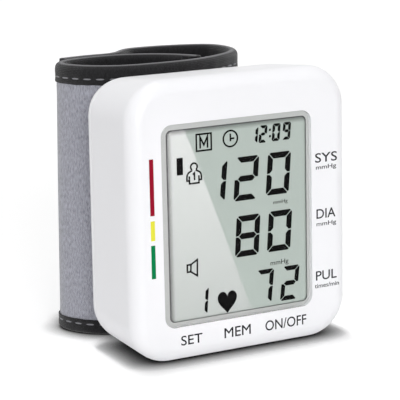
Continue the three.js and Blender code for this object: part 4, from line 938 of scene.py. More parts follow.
class MONITOR_OT_battery(bpy.types.Operator):
    """Battery door with finger grooves, dry cells and coil contacts"""

    bl_idname = "monitor.battery"
    bl_label = "Battery bay"

    door_round = 0.3 * MM
    groove_length = 8 * MM
    groove_width = 0.9 * MM
    groove_corner = 0.4 * MM
    groove_pitch = 2 * MM
    groove_margin = 3 * MM
    groove_count = 4
    groove_profile = ((-0.12, -0.2), (-0.12, 0), (0.1, 0.4))
    # Hinge tabs, in millimetres: an upright leg and the web that joins it to the door.
    tab_spread = 3.9
    tab_half = 1.5
    tab_top = 1.6
    leg_thickness = 0.5
    web_reach = 1.4
    tab_round = 0.1
    # A cell's rims, in millimetres from its side or its contact and from its end.
    cell_foot = ((-0.4, 0), (-0.1, 0.1), (0, 0.4))
    cell_shoulder = ((0, -0.5), (-0.15, -0.1), (-0.5, 0))
    cell_groove = ((0.5, 0), (0.4, -0.2), (0, -0.2))
    cell_tip = ((0, -0.2), (-0.2, 0))
    cell_foot_flat = 0.6
    cell_tip_flat = 0.5 * MM
    cell_nub = 1.9 * MM
    cell_nub_length = 0.9 * MM
    wire = 0.3 * MM
    wire_sides = 8
    coil_turns = 3
    coil_steps = 120
    coil_base = 4 * MM
    coil_top = 1.8 * MM

    def execute(self, context):
        settings = context.scene.monitor_case
        self.door()
        film = moulded_finish("cell film", settings.cell_blue, 0.3, grain=600, depth=0.01, mottle=0.2,
                              Coat_Weight=0.5)
        for name, turned_over in (("front_cell", False), ("rear_cell", True)):
            shape = self.stood(name, turned_over, self.cell(name))
            add_piece(name + "_wrapped", shape, film, "cell_can", "case", [name])
        steel = bpy.data.materials["plated steel"]
        for name, turned_over in (("front_spring", False), ("rear_spring", True)):
            shape = self.stood(name, turned_over, self.coil(name))
            add_piece(name + "_coil", shape, steel, "steel", "case", [name])
        return {"FINISHED"}

    def door(self):
        """A plate flush with the case's side, rounded at its rims, with grooves cut near its upper end and
        two hinge tabs behind its lower end."""
        panel = rounded_loft(DOOR_WIDTH, DOOR_LENGTH, DOOR_CORNER, cushioned(DOOR_THICKNESS, self.door_round),
                             DOOR_STEPS)
        door = solid("door_panel", placed(panel, (RIGHT_X, DOOR_Y, DOOR_Z), FACING_RIGHT))
        groove = rounded_loft(self.groove_length, self.groove_width, self.groove_corner,
                              np.array(self.groove_profile) * MM, DOOR_STEPS)
        first = DOOR_HIGH.z - self.groove_margin + self.groove_width / 2
        carved(door, [placed(groove, (RIGHT_X, DOOR_Y, first - i * self.groove_pitch), FACING_RIGHT)
                      for i in range(self.groove_count)])
        lower = DOOR_LOW.z / MM
        inner = DOOR_LOW.x / MM
        top = lower + self.tab_top
        tabs = []
        for side in (-1, 1):
            y = DOOR_Y / MM + side * self.tab_spread
            near, far = y - self.tab_half, y + self.tab_half
            web_low = lower + DOOR_TAB_REACH / MM
            tabs.append(block((inner, near, lower), (inner + self.leg_thickness, far, top), self.tab_round))
            tabs.append(block((inner, near, web_low), (inner + self.web_reach, far, top), self.tab_round))
        carved(door, tabs, "UNION")
        dress(door, bpy.data.materials["white case"], "white_case", "battery_cover", ["battery_door"])
        even_normals(door)

    def stood(self, name, turned_over, shape):
        """A shape along an upright axis, stood in a node's box, or hung from its top when turned over."""
        low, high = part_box(name)
        middle = middle_of(name)
        foot, axes = (high.z, FACING_UP) if turned_over else (low.z, FACING_DOWN)
        return placed(shape, (middle.x, middle.y, foot), axes)

    def cell(self, name):
        """A dry cell turned from its can, a sealing groove, a shoulder and the raised contact."""
        low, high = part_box(name)
        radius = (high.x - low.x) / 2
        length = high.z - low.z
        can = length - self.cell_nub_length
        corners = ((self.cell_foot, radius, 0), (self.cell_shoulder, radius, can),
                   (self.cell_groove, self.cell_nub, can), (self.cell_tip, self.cell_nub, length))
        rims = [np.array(rim) * MM + [across, along] for rim, across, along in corners]
        return turned(np.vstack([[[self.cell_foot_flat * radius, 0]], *rims, [[self.cell_tip_flat, length]]]))

    def coil(self, name):
        """A conical coil: a round wire whose middle turns about the axis while its radius narrows and it
        rises."""
        low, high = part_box(name)
        turn = np.linspace(0, 2 * np.pi * self.coil_turns, self.coil_steps)
        part = turn / turn[-1]
        radius = self.coil_base + (self.coil_top - self.coil_base) * part - self.wire
        rise = self.wire + part * (high.z - low.z - 2 * self.wire)
        around = even_turns(self.wire_sides)
        spread = radius[:, None] + self.wire * np.cos(around)
        height = rise[:, None] + self.wire * np.sin(around)
        points = np.stack([spread * np.cos(turn)[:, None], spread * np.sin(turn)[:, None], height], axis=2)
        return points.reshape(-1, 3), tube_faces(len(turn), len(around))


# Display

GLASS_DEPTH = 0.95 * MM
GLASS_BACK_GAP = 0.02 * MM
GLASS_FIT = 0.1 * MM
GLASS_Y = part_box("lcd_panel")[0].y - GLASS_DEPTH
MASK_LOW, MASK_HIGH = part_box("display_mask")
SYMBOL_SHIFT = np.array([-0.98, 0.43])
CORNER_CUT = 0.23
SEGMENTS = {"0": "abcdef", "1": "bc", "2": "abged", "7": "abc", "8": "abcdefg", "9": "abcdfg"}
CIRCLE_POINTS = 36
HEART_POINTS = 48
LETTER_DEPTH = 0.5
LETTER_STEPS = 4
LEGEND_WEIGHT = 0.006


def segment_outlines(width, height, bar, gap):
    """The seven bars of a digit, mitred at 45 degrees with a gap: four half-length uprights with pointed
    inner ends, a top and a bottom bar, and a six-sided middle bar. The digit's outer corners are cut off
    straight."""
    half = height / 2
    cut = CORNER_CUT * bar
    near, far = cut - gap / 2, cut + gap / 2
    top = [(2 * cut, height), (width - 2 * cut, height), (width - far, height - near),
           (width - bar - gap, height - bar), (bar + gap, height - bar), (far, height - near)]
    right = [(width, height - 2 * cut), (width - near, height - far), (width - bar, height - bar - gap),
             (width - bar, half + bar / 2 + gap), (width - bar / 2, half + gap), (width, half + gap)]
    middle = [(bar / 2 + gap, half), (bar + gap, half + bar / 2), (width - bar - gap, half + bar / 2),
              (width - bar / 2 - gap, half), (width - bar - gap, half - bar / 2), (bar + gap, half - bar / 2)]

    def over(points):
        return [(x, height - z) for x, z in points]

    def across(points):
        return [(width - x, z) for x, z in points]

    return {"a": top, "b": right, "c": over(right), "d": over(top), "e": across(over(right)),
            "f": across(right), "g": middle}


def digit(sign, left, base, width, height, lean, bar, gap):
    """Outlines of one digit in millimetres, with its upper end leaning to the right."""
    outlines = segment_outlines(width, height, bar, gap)
    for name in SEGMENTS[sign]:
        outline = np.array(outlines[name])
        leaning = np.column_stack([lean * outline[:, 1] / height, np.zeros(len(outline))])
        yield outline + [left, base] + leaning


def circle(x, z, radius, start=0.0, stop=360.0):
    """Points of an arc about a middle, in degrees from the right."""
    turn = np.radians(np.linspace(start, stop, CIRCLE_POINTS))
    return np.column_stack([x + radius * np.cos(turn), z + radius * np.sin(turn)])


def heart(x, z, width, height):
    """The heart curve, the sine cubed above and about squared below for fuller sides, fitted to a box about
    its middle."""
    turn = even_turns(HEART_POINTS)
    across = np.sin(turn) * np.abs(np.sin(turn)) ** np.where(np.cos(turn) > 0, 2, 1.1)
    upward = 13 * np.cos(turn) - 5 * np.cos(2 * turn) - 2 * np.cos(3 * turn) - np.cos(4 * turn)
    low, high = upward.min(), upward.max()
    return np.column_stack([x + across / 2 * width, z + (upward - low) / (high - low) * height - height / 2])


def lettering(words, left, right, base, top, depth, weight=0.0):
    """Plain letters as a flat mesh with a depth, scaled to stand in a box of millimetres. A bevel round their
    outlines gives them weight."""
    curve = bpy.data.curves.new("letters", "FONT")
    curve.body = words
    curve.extrude = LETTER_DEPTH
    curve.bevel_depth = weight
    curve.bevel_resolution = 0
    curve.resolution_u = LETTER_STEPS
    made = new_object("letters", curve)
    bpy.context.view_layer.update()
    mesh = baked_mesh(made)
    points = np.empty(3 * len(mesh.vertices))
    mesh.vertices.foreach_get("co", points)
    points = points.reshape(-1, 3)
    faces = [list(face.vertices) for face in mesh.polygons]
    bpy.data.meshes.remove(mesh)
    bpy.data.curves.remove(curve)
    low, high = points.min(axis=0), points.max(axis=0)
    part = (points - low) / (high - low)
    return np.array([left, base, 0]) + part * [right - left, top - base, depth], faces


class MONITOR_OT_display(bpy.types.Operator):
    """Window, printed border, panel and display symbols"""

    bl_idname = "monitor.display"
    bl_label = "Display"

    # Sign, left, base, width, height, lean, bar and gap of each digit, in millimetres.
    digits = (
        ("1", -8.5, 40.4, 4.75, 10.95, 1.1, 1.5, 0.16), ("2", -1.15, 39.95, 7.0, 11.6, 1.0, 1.55, 0.15),
        ("0", 8.6, 40.35, 7.05, 11.3, 0.95, 1.6, 0.15),
        ("8", -1.0, 24.9, 7.2, 11.0, 0.75, 1.6, 0.15), ("0", 8.75, 25.0, 7.2, 10.95, 0.8, 1.6, 0.15),
        ("7", 4.7, 11.2, 5.25, 9.3, 1.0, 1.25, 0.13), ("2", 12.6, 11.1, 5.2, 9.35, 1.1, 1.25, 0.13),
        ("1", -12.3, 11.05, 2.75, 7.2, 0.6, 0.92, 0.11),
        ("1", 4.0, 54.6, 2.3, 4.45, 0.45, 0.8, 0.06), ("2", 6.65, 54.6, 2.4, 4.6, 0.45, 0.8, 0.06),
        ("0", 10.65, 54.65, 2.4, 4.65, 0.45, 0.8, 0.06), ("9", 13.85, 54.7, 2.4, 4.65, 0.45, 0.8, 0.06),
    )
    # The other filled signs, in millimetres: the colon's dots, the level mark and the heart.
    dot = np.array([(9.85, 0), (10.4, 0), (10.5, 0.6), (9.95, 0.6)])
    dot_bases = (55.8, 57.5)
    level_mark = ((-17.6, 48.75), (-15.8, 48.75), (-15.8, 53.25), (-17.6, 53.25))
    heart_box = (-3.5, 13.3, 5.8, 5.9)
    # Left, right, base and top of each unit.
    units = (("mmHg", 10.95, 15.33, 37.55, 38.8), ("mmHg", 9.85, 15.4, 20.9, 22.6))
    # Widths of the grey border and of the dark line inside it, a painted shadow of the border's edge: left,
    # right, top and bottom, in millimetres.
    band = (2.0, 0.85, 1.6, 1.1)
    shadow_line = (0.42, 0.08, 0.33, 0.1)

    def execute(self, context):
        settings = context.scene.monitor_display
        self.window(settings)
        self.border(settings)
        self.panel(settings)
        self.symbols(settings)
        return {"FINISHED"}

    def window(self, settings):
        """A clear plate with polished rims, flush with the front."""
        shape = rounded_loft(LENS_WIDTH, LENS_HEIGHT, LENS_CORNER, cushioned(LENS_THICKNESS, settings.rim))
        add_piece("window", placed(shape, (LENS_X, FRONT_Y, LENS_Z), FACING_FRONT), window_finish(),
                  "clear_lens", "case", ["display_lens"])

    def panel(self, settings):
        """The panel behind and a glass plate in front of it that stands in the opening of the case."""
        finish = panel_finish(settings.panel_grey)
        NODES["lcd_panel"].data.materials[0] = finish
        inset = LENS_LEDGE + GLASS_FIT
        shape = rounded_loft(LENS_WIDTH - 2 * inset, LENS_HEIGHT - 2 * inset, LENS_CORNER - inset,
                             cushioned(GLASS_DEPTH - GLASS_BACK_GAP, settings.rim))
        add_piece("display_glass", placed(shape, (LENS_X, GLASS_Y, LENS_Z), FACING_FRONT), finish, "lcd")

    def loop(self, widths, corner):
        """Points round the window's outline drawn in by a width on each side, with a corner radius."""
        left, right, top, bottom = np.array(widths) * MM
        points, _ = rounded_loft(LENS_WIDTH - left - right, LENS_HEIGHT - top - bottom, corner, [(0, 0)])
        return points[:, :2] + [(left - right) / 2, (bottom - top) / 2]

    def border(self, settings):
        """A grey frame printed behind the window, with a dark line at its inner edge that is a painted shadow
        of the frame's edge, widest on the left and at the top: each is a flat ring between two rounded
        outlines."""
        corner = LENS_CORNER - settings.border
        band = np.array(self.band)
        outer = self.loop((0, 0, 0, 0), LENS_CORNER)
        middle = self.loop(band, corner)
        inner = self.loop(band + self.shadow_line, corner)
        thickness = MASK_HIGH.y - MASK_LOW.y
        rows = (("window_border", outer, middle, settings.border_grey, "lens_mask", ["display_mask"]),
                ("window_border_line", middle, inner, settings.shadow_line_grey, "lcd_ink", []))
        for name, outside, inside, colour, slot, stands_for in rows:
            loops = [(outside, 0.0), (outside, thickness), (inside, thickness), (inside, 0.0)]
            points = np.vstack([np.column_stack([loop, np.full(len(loop), depth)]) for loop, depth in loops])
            shape = points, tube_faces(len(loops), len(outside), closed=True)
            finish = moulded_finish(name.replace("_", " "), colour, 0.5, grain=6000, depth=0.002)
            add_piece(name, placed(shape, (LENS_X, MASK_LOW.y, LENS_Z), FACING_FRONT), finish, slot, "case",
                      stands_for)

    def symbols(self, settings):
        """Dark segments on the panel: time, three readings, units and small signs."""
        height = settings.ink_height / MM
        outlines = [outline for sign, *sizes in self.digits for outline in digit(sign, *sizes)]
        outlines += [self.dot + [0, base] for base in self.dot_bases]
        outlines += [self.level_mark, heart(*self.heart_box)]
        shapes = [plate(np.array(outline) + SYMBOL_SHIFT, height) for outline in outlines]
        shapes += [stroke(np.array(path) + SYMBOL_SHIFT, settings.line / MM, height, closed)
                   for path, closed in self.signs()]
        for words, *box in self.units:
            points, faces = lettering(words, *box, height)
            shapes.append((points + [*SYMBOL_SHIFT, 0], faces))
        points, faces = merged(shapes)
        ink = moulded_finish("display ink", settings.ink, 0.6, grain=5000, depth=0.002, mottle=0.2,
                             Specular_IOR_Level=0.0)
        shape = placed((points * MM, faces), (0, GLASS_Y - settings.ink_height, 0), FACING_FRONT)
        add_piece("display_symbols", shape, ink, "lcd_ink")

    def signs(self):
        """Paths of the signs drawn with a line: memory box, clock, person and loudspeaker."""
        yield [(-11.75, 54.45), (-7.4, 54.45), (-7.4, 58.75), (-11.75, 58.75)], True
        yield circle(-1.73, 56.72, 2.1)[:-1], True
        yield [(-1.73, 58.0), (-1.73, 56.0)], False
        yield [(-1.73, 56.72), (-0.55, 56.72)], False
        yield [(-10.65, 55.05), (-10.65, 58.0), (-9.57, 55.9), (-8.5, 58.0), (-8.5, 55.05)], False
        yield circle(-12.6, 50.5, 0.95, -52, 232), False
        side = np.array([(0.5, 49.65), (1.05, 49.35), (1.65, 49.05), (2.02, 48.5), (2.12, 47.85),
                         (2.12, 47.0), (1.45, 47.0)])
        body = np.array([(-1.4, 48.15), (-1.4, 46.2), (1.4, 46.2), (1.4, 48.15)])
        middle = [-12.6, 0]
        yield side + middle, False
        yield side * [-1, 1] + middle, False
        yield body + middle, False
        yield [(-13.0, 48.5), (-12.5, 48.9), (-12.5, 47.0)], False
        yield [(-15.2, 23.0), (-14.2, 23.0), (-12.3, 21.7), (-12.2, 26.0), (-14.1, 24.9), (-15.2, 24.9)], True
        yield [(-14.2, 23.0), (-14.1, 24.9)], False


class MONITOR_OT_prints(bpy.types.Operator):
    """Printed legends and the coloured level bars on the front"""

    bl_idname = "monitor.prints"
    bl_label = "Prints"

    # Left, right, base and top of each legend, in millimetres.
    legends = (
        ("SYS", 22.1, 29.0, 48.2, 50.76), ("mmHg", 22.35, 28.7, 46.0, 47.5),
        ("DIA", 22.4, 28.4, 32.97, 35.57), ("mmHg", 22.4, 28.6, 30.6, 32.1),
        ("PUL", 22.1, 28.7, 15.97, 18.55), ("times/min", 21.7, 29.4, 13.9, 15.1),
        ("SET", -19.3, -13.0, 4.5, 7.1), ("MEM", -6.4, 1.6, 4.5, 7.2), ("ON/OFF", 6.1, 18.9, 4.45, 7.25),
    )
    # Colour, left, base and top of each bar, in millimetres.
    bars = (
        ("red", (0.325, 0.008, 0.026), -27.25, 39.9, 54.5),
        ("yellow", (0.83, 0.80, 0.066), -27.25, 33.4, 38.55),
        ("green", (0.004, 0.22, 0.072), -27.3, 23.45, 32.2),
    )
    bar_width = 1.2
    bar_corner = 0.1 * MM

    def execute(self, context):
        settings = context.scene.monitor_case
        height = PRINT_HEIGHT / MM
        letters = [lettering(words, *box, height, LEGEND_WEIGHT) for words, *box in self.legends]
        points, faces = merged(letters)
        ink = moulded_finish("legend print", settings.print_grey, 0.5, grain=5000, depth=0.003, mottle=0.1,
                             Specular_IOR_Level=0.15)
        shape = placed((points * MM, faces), (0, FRONT_Y, 0), FACING_FRONT)
        add_piece("front_legends", shape, ink, "print")
        for name, colour, left, base, top in self.bars:
            middle = ((left + self.bar_width / 2) * MM, FRONT_Y, (base + top) / 2 * MM)
            shape = rounded_loft(self.bar_width * MM, (top - base) * MM, self.bar_corner,
                                 [(0, 0), (0, PRINT_HEIGHT)], BAR_STEPS)
            paint = moulded_finish(name + " print", colour, 0.4, grain=4000, depth=0.003, mottle=0.05,
                                   Specular_IOR_Level=0.02)
            add_piece(name + "_level_bar", placed(shape, middle, FACING_FRONT), paint, "level_bars")
        return {"FINISHED"}


# Inner parts

class MONITOR_OT_inner_parts(bpy.types.Operator):
    """Finishes of the parts inside the case that keep their frame shape"""

    bl_idname = "monitor.inner_parts"
    bl_label = "Inner parts"

    def execute(self, context):
        grey = moulded_finish("satin grey plastic", (0.27, 0.275, 0.3), 0.45, depth=0.01)
        rubber = moulded_finish("matt rubber", (0.03, 0.03, 0.034), 0.75, grain=3500, depth=0.015)
        silicone = moulded_finish("milky silicone", (0.7, 0.68, 0.62), 0.5, depth=0.008,
                                  Subsurface_Weight=0.2, Subsurface_Radius=(0.002, 0.0015, 0.001))
        black = moulded_finish("black component", (0.012, 0.012, 0.014), 0.5, grain=5000, depth=0.01,
                               mottle=0.2)
        steel = bpy.data.materials["plated steel"]
        white = bpy.data.materials["white case"]
        finishes = {
            "lcd_frame": grey, "contact_strip": rubber, "main_board": board_finish(), "processor_chip": black,
            "pressure_sensor": black, "speaker": steel, "pump_motor": steel, "pump_crank": grey,
            "pump_head": grey, "exhaust_valve": black, "valve_armature": steel, "air_manifold": silicone,
            "cuff_nozzle": grey, "battery_tray": white, "negative_contact": steel, "positive_contact": steel,
            "bridge_contact": steel, "cuff_saddle": white,
        }
        for key in KEYS:
            finishes[key + "_switch"] = black
            finishes[key + "_plunger"] = rubber
        for name, finish in finishes.items():
            NODES[name].data.materials[0] = finish
        return {"FINISHED"}


# Cuff

STRAP_HEIGHT = CAD_BOX[1][2] - CAD_BOX[0][2]
STRAP_MIDDLE = (-3.7 * MM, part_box("cuff_fabric")[0].y)
STRAP_THICKNESS = 2.2 * MM
STATION = 0.2 * MM
RIM_ROOM = 3 * MM
LAP_OFFSET = 3.4 * MM
LAP_POINTS = 90
DIP_HANDLE = 6 * MM
DIP_POINTS = 80
TAPE_REACH = 5.2 * MM
LOW_TAPE = 0.8
FLAP_TRIM = 1.7 * MM

# How far the loop's ends spread, at the rim above and below on the left, and between which places.
LEFT_FLARE = (0.8 * MM, 2.6 * MM)
LEFT_FLARE_REACH = (10 * MM, 28 * MM)
RIGHT_FLARE = 0.7 * MM
RIGHT_FLARE_REACH = (8 * MM, 22 * MM)

# Arcs of radius in millimetres and turn in degrees, from the middle of the strap's front outwards.
RIGHT_ARCS = [(34, 41), (17, 44)]
FLAP_ARCS = [(17, 18), (8, 45), (32, 38)]
LEFT_ARCS = [(100, 5.5), (18.5, 69), (7.5, 84)]
LAP_RADIUS = 26
LAP_END_TURN = 11
LAP_PATCH_TURN = 16.5
AFTER_LAP_TURN = 10.5
TAIL_TURN = 52

RIPPLE_LENGTHS = np.array([0.62, 5.1, 1.13, 2.9]) * MM

# The folded tape's section: heights of its wall's points and how far its tips and its fold are rounded.
TAPE_WALL = np.array([4.5, 4.1, 3.85, 3.6, 3.35, 3.1, 2.6, 2.1]) * MM
TAPE_TIP = 0.12 * MM
TAPE_INNER_TIP = 0.1 * MM
FOLD_POINTS = 15
FOLD_FILL = 0.5 * MM


def arc_length(arcs):
    """Length of a chain of arcs: the sum of each radius times its turn."""
    return sum(radius * MM * math.radians(turn) for radius, turn in arcs)


def follow_arcs(start, turn, arcs, side):
    """Points along arcs that bend towards the wrist: each arc is a circle about a middle that lies one radius
    inwards of its start, swept by its turn; side is 1 to the right and -1 to the left."""
    points = [np.array([start])]
    for radius, sweep in arcs:
        radius = radius * MM
        sweep = math.radians(sweep)
        angle = turn + np.linspace(0, sweep, max(3, math.ceil(radius * sweep / STATION)))[1:]
        middle = points[-1][-1] + radius * np.array([-side * math.sin(turn), math.cos(turn)])
        points.append(middle + radius * np.column_stack([side * np.sin(angle), -np.cos(angle)]))
        turn += sweep
    return np.vstack(points), turn


class StrapLine:
    """The strap's outer face in plan, as one line from the tail's end round the wrist to the flap's end."""

    def __init__(self):
        lap_turn = LAP_END_TURN + LAP_PATCH_TURN
        rim_turn = math.degrees(RIM_ROOM / (LAP_RADIUS * MM))
        left, turn = follow_arcs(STRAP_MIDDLE, 0, LEFT_ARCS, -1)
        loop_end = [(LAP_RADIUS, part) for part in (lap_turn + AFTER_LAP_TURN, TAIL_TURN, rim_turn)]
        tail, _ = follow_arcs(left[-1], turn, loop_end, -1)
        right, _ = follow_arcs(STRAP_MIDDLE, 0, RIGHT_ARCS + FLAP_ARCS, 1)
        middle = left[-1] + LAP_RADIUS * MM * np.array([math.sin(turn), math.cos(turn)])
        angle = turn + np.radians(np.linspace(lap_turn, -rim_turn, LAP_POINTS))
        outer = LAP_RADIUS * MM + LAP_OFFSET
        lap = middle + outer * np.column_stack([-np.sin(angle), -np.cos(angle)])
        dip = self.dip(right, lap)
        self.points = np.vstack([tail[:0:-1], left[:0:-1], right, dip[1:-1], lap])
        step = np.linalg.norm(np.diff(self.points, axis=0), axis=1)
        self.along = np.concatenate([[0], np.cumsum(step)])
        tangent = np.gradient(self.points, self.along, axis=0)
        tangent /= np.linalg.norm(tangent, axis=1)[:, None]
        self.out = np.column_stack([tangent[:, 1], -tangent[:, 0]])
        self.tail_end = RIM_ROOM
        self.tail_split = RIM_ROOM + arc_length([(LAP_RADIUS, TAIL_TURN)])
        band = arc_length(LEFT_ARCS + RIGHT_ARCS + [(LAP_RADIUS, lap_turn + AFTER_LAP_TURN)])
        self.flap_split = self.tail_split + band
        lap_end = self.along[-1] - outer * math.radians(rim_turn)
        self.flap_end = lap_end - FLAP_TRIM
        self.patch_end = lap_end - outer * math.radians(LAP_END_TURN)
        self.patch_start = self.patch_end - outer * math.radians(LAP_PATCH_TURN)

    def dip(self, right, lap):
        """A cubic curve from the flap's back to the lap, leaving and arriving along the strap."""
        leave = right[-1] - right[-2]
        arrive = lap[1] - lap[0]
        handle = right[-1] + DIP_HANDLE * leave / np.linalg.norm(leave)
        other = lap[0] - DIP_HANDLE * arrive / np.linalg.norm(arrive)
        t = np.linspace(0, 1, DIP_POINTS)[:, None]
        return ((1 - t) ** 3 * right[-1] + 3 * (1 - t) ** 2 * t * handle + 3 * (1 - t) * t ** 2 * other
                + t ** 3 * lap[0])

    def at(self, along, offset, height):
        """Points at a length along the strap, an offset outwards from its outer face and a height. The loop's
        two ends spread sideways, the left one more towards the floor, as it does round a forearm."""
        along, offset, height = np.broadcast_arrays(along, offset, height)
        x, y = [np.interp(along, self.along, self.points[:, i])
                + offset * np.interp(along, self.along, self.out[:, i]) for i in (0, 1)]
        top, bottom = LEFT_FLARE
        spread = bottom + (top - bottom) * height / STRAP_HEIGHT
        x = x - spread * ease(-x, *LEFT_FLARE_REACH) + RIGHT_FLARE * ease(x, *RIGHT_FLARE_REACH)
        return np.stack([x, y, height], axis=-1)


def ripple(along):
    """An uneven wave along the strap between 0 and 1: three sines whose lengths share no common measure, the
    first of them swayed by a fourth."""
    fine, sway, middle, slow = [along / length for length in RIPPLE_LENGTHS]
    wave = np.sin(fine + 1.3 * np.sin(sway)) + 0.6 * np.sin(middle + 2.0) + 0.5 * np.sin(slow)
    return 0.5 + wave / 4.2


def ease(value, low, high):
    """A smooth step from 0 at low to 1 at high."""
    t = np.clip((value - low) / (high - low), 0, 1)
    return t * t * (3 - 2 * t)


def binding_section(proud, tape):
    """Offset and reach of a tape folded over an edge, with its turned tips, walls and round fold, as a closed
    loop: outer side down to the fold, inner side up, and back inside."""
    middle = -STRAP_THICKNESS / 2
    radius = STRAP_THICKNESS / 2 + proud
    turn = np.linspace(0, np.pi, FOLD_POINTS)
    tip = [(proud - tape, TAPE_REACH - TAPE_INNER_TIP), (proud - 0.7 * tape, TAPE_REACH),
           (proud - 0.3 * tape, TAPE_REACH), (proud, TAPE_REACH - TAPE_TIP)]
    wall = np.column_stack([np.full(len(TAPE_WALL), proud), TAPE_WALL])
    front = np.vstack([tip, wall])
    fold = np.column_stack([middle + radius * np.cos(turn), radius - radius * np.sin(turn)])
    back = np.column_stack([2 * middle - front[::-1, 0], front[::-1, 1]])
    inner_fold = np.column_stack([middle - (radius - tape) * np.cos(turn),
                                  radius - (radius - FOLD_FILL) * np.sin(turn)])
    return np.vstack([front, fold, back, inner_fold])


class MONITOR_OT_cuff(bpy.types.Operator):
    """Wrist cuff: fabric, linings, folded binding, stitches and hook patch"""

    bl_idname = "monitor.cuff"
    bl_label = "Cuff"

    # Where the flap and the tail would start and end their bend, in millimetres; nothing here bends them.
    roots = {"flap": ((21.75, 17.2, 0), (18.85, 24.7, 0)), "tail": ((-7.2, 21.2, 0), (-3.4, 19.4, 0))}
    along_step = 0.45 * MM

    # Fabric and lining: rows of points up the strap, gathers beside the tape and the fabric's slow sway.
    cloth_edge = 0.6 * MM
    gathered_reach = 14 * MM
    gathered_rows = 34
    middle_rows = 22
    gather_edge = 0.8 * MM
    gather_fade = 2.2 * MM
    sway_length = 6.3 * MM
    sway_height = 0.12 * MM
    inner_gather = 0.5
    lining_gather = 0.25
    # The lining's depth behind the fabric and its swell: the band carries the core and the air bag.
    lining_depth = {"cuff": 0.55 * MM, "flap": 0.15 * MM, "tail": 0.15 * MM}
    lining_swell = {"cuff": 0.25 * MM, "flap": 0.05 * MM, "tail": 0.05 * MM}
    swell_reach = 2.5 * TAPE_REACH
    swell_pace = 1 / 3

    core_depth = (0.1 * MM, 0.45 * MM)
    stud_radius = 1.5 * MM
    stud_round = 0.2 * MM
    stud_root = 0.05 * MM
    stud_spread = 6 * MM
    nozzle_room = 0.3 * MM

    # Tape: where its folds get a painted highlight, how it swells and how the stitches draw it in.
    rim_highlight_reach = (0.05 * MM, 0.3 * MM)
    rim_highlight_share = 0.85
    skin_depth = 0.15 * MM
    tape_swell = 0.15 * MM
    tape_swell_pace = 0.7
    tape_swell_reach = 2 * MM
    tip_wave = 0.14 * MM
    tip_pace = 0.9
    tip_phase = 3 * MM
    tip_start = 4 * MM
    stitch_groove = 0.45 * MM
    groove_depth = 0.08 * MM
    stitch_pull = 0.14 * MM
    end_fold = 0.6 * MM
    end_lift = 0.22 * MM
    end_margin = 0.25 * MM
    end_rows = 124

    stitch_rings = 7
    stitch_sides = 6
    stitch_flatness = 0.7
    stitch_least = 0.02
    stitch_sink = 0.10 * MM
    end_stitch_sink = 0.08 * MM

    patch_lift = 0.1 * MM
    patch_depth = 0.45 * MM
    hook_rows = (0.7 * MM, 0.5 * MM, 1.1 * MM)
    hook_levels = (0.8 * MM, 0.5 * MM, 1.3 * MM)
    hook_bend = np.radians([0, 0, 50, 100, 150])
    hook_stem = np.array([-0.05, 0.23, 0.23, 0.23, 0.23]) * MM
    hook_wire = 0.11 * MM
    hook_reach = 0.16 * MM
    hook_sides = 5

    def execute(self, context):
        settings = context.scene.monitor_cuff
        self.settings = settings
        self.line = StrapLine()
        line = self.line
        self.fabric = cloth_finish("heather fabric", settings.fabric_grey, yarn=0.62, rise=0.5, depth=0.10,
                                   heather=0.42, sheen=0.6)
        self.tape = cloth_finish("binding tape", settings.tape_black, yarn=0.45, rise=0.9, depth=0.10,
                                 heather=0.6, sheen=0.25)
        self.paint_rim_highlight(self.tape.node_tree)
        self.lining = cloth_finish("knit lining", settings.lining_black, yarn=0.8, rise=0.6, depth=0.10,
                                   heather=0.3, sheen=0.3)
        self.thread = moulded_finish("grey thread", settings.thread_grey, 0.7, grain=4000, depth=0.04,
                                     mottle=0.3, Sheen_Weight=0.3)
        stretches = (("cuff", line.tail_split, line.flap_split), ("flap", line.flap_split, line.flap_end),
                     ("tail", line.tail_end, line.tail_split))
        for name, start, end in stretches:
            self.cloth(name, start, end)
            self.bindings(name, start, end)
            self.stitches(name, start, end)
        self.core()
        self.end_binding("flap", line.flap_end, 1)
        self.end_binding("tail", line.tail_end, -1)
        self.hook_patch()
        return {"FINISHED"}

    def paint_rim_highlight(self, tree):
        """Paints a highlight on the tape along the two folds: by the distance from the strap's nearer rim,
        strongest right at the rim."""
        height = parts_of(tree, strap_place(tree))["Y"]
        reach = maths(tree, "MINIMUM", height, maths(tree, "SUBTRACT", STRAP_HEIGHT, height))
        # Painted highlight along the folds.
        overlay(tree, ranged(tree, reach, self.rim_highlight_reach, (self.rim_highlight_share, 0)), self.settings.rim_highlight_grey)

    def settle(self, made, name):
        """Puts a piece of the cuff on its body: the band goes on the case; the flap and tail keep their place
        worked into their meshes, and their roots are read but not used."""
        if name == "cuff":
            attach(made, "case")
        else:
            start, end = [tuple(value * MM for value in point) for point in self.roots[name]]
            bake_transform(made)
            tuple(start)
            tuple(end)

    def strap_piece(self, title, along, offset, height, finish, slot, stands_for):
        """A closed tube over a grid of strap coordinates, with those coordinates kept for its weave."""
        points = self.line.at(along, offset, height).reshape(-1, 3)
        shape = points, tube_faces(*offset.shape)
        made = new_object(title, outward_mesh(title, shape, weld=False))
        dress(made, finish, slot, None, stands_for, CLOTH_SHARP_ANGLE)
        place = np.stack(np.broadcast_arrays(along, height, offset), axis=-1)
        made.data.attributes.new("strap", "FLOAT_VECTOR", "POINT").data.foreach_set(
            "vector", place.astype(np.float32).ravel())
        return made

    def stations(self, start, end):
        """Lengths along the strap at even steps, as a column."""
        return np.linspace(start, end, math.ceil((end - start) / self.along_step) + 1)[:, None]

    def gathers(self, along, height):
        """Small upright folds beside the binding: a ripple that fades within a few millimetres of the tape,
        on a slow sway of the whole fabric."""
        reach = np.minimum(height / LOW_TAPE, STRAP_HEIGHT - height)
        fade = ease(reach, TAPE_REACH - self.gather_edge, TAPE_REACH + self.gather_edge)
        fade = fade * np.exp(-np.maximum(reach - TAPE_REACH, 0) / self.gather_fade)
        sway = np.sin(along / self.sway_length) * np.sin(np.pi * height / STRAP_HEIGHT) * self.sway_height
        return self.settings.gather * fade * ripple(along) + sway * ease(reach, TAPE_REACH, 3 * TAPE_REACH)

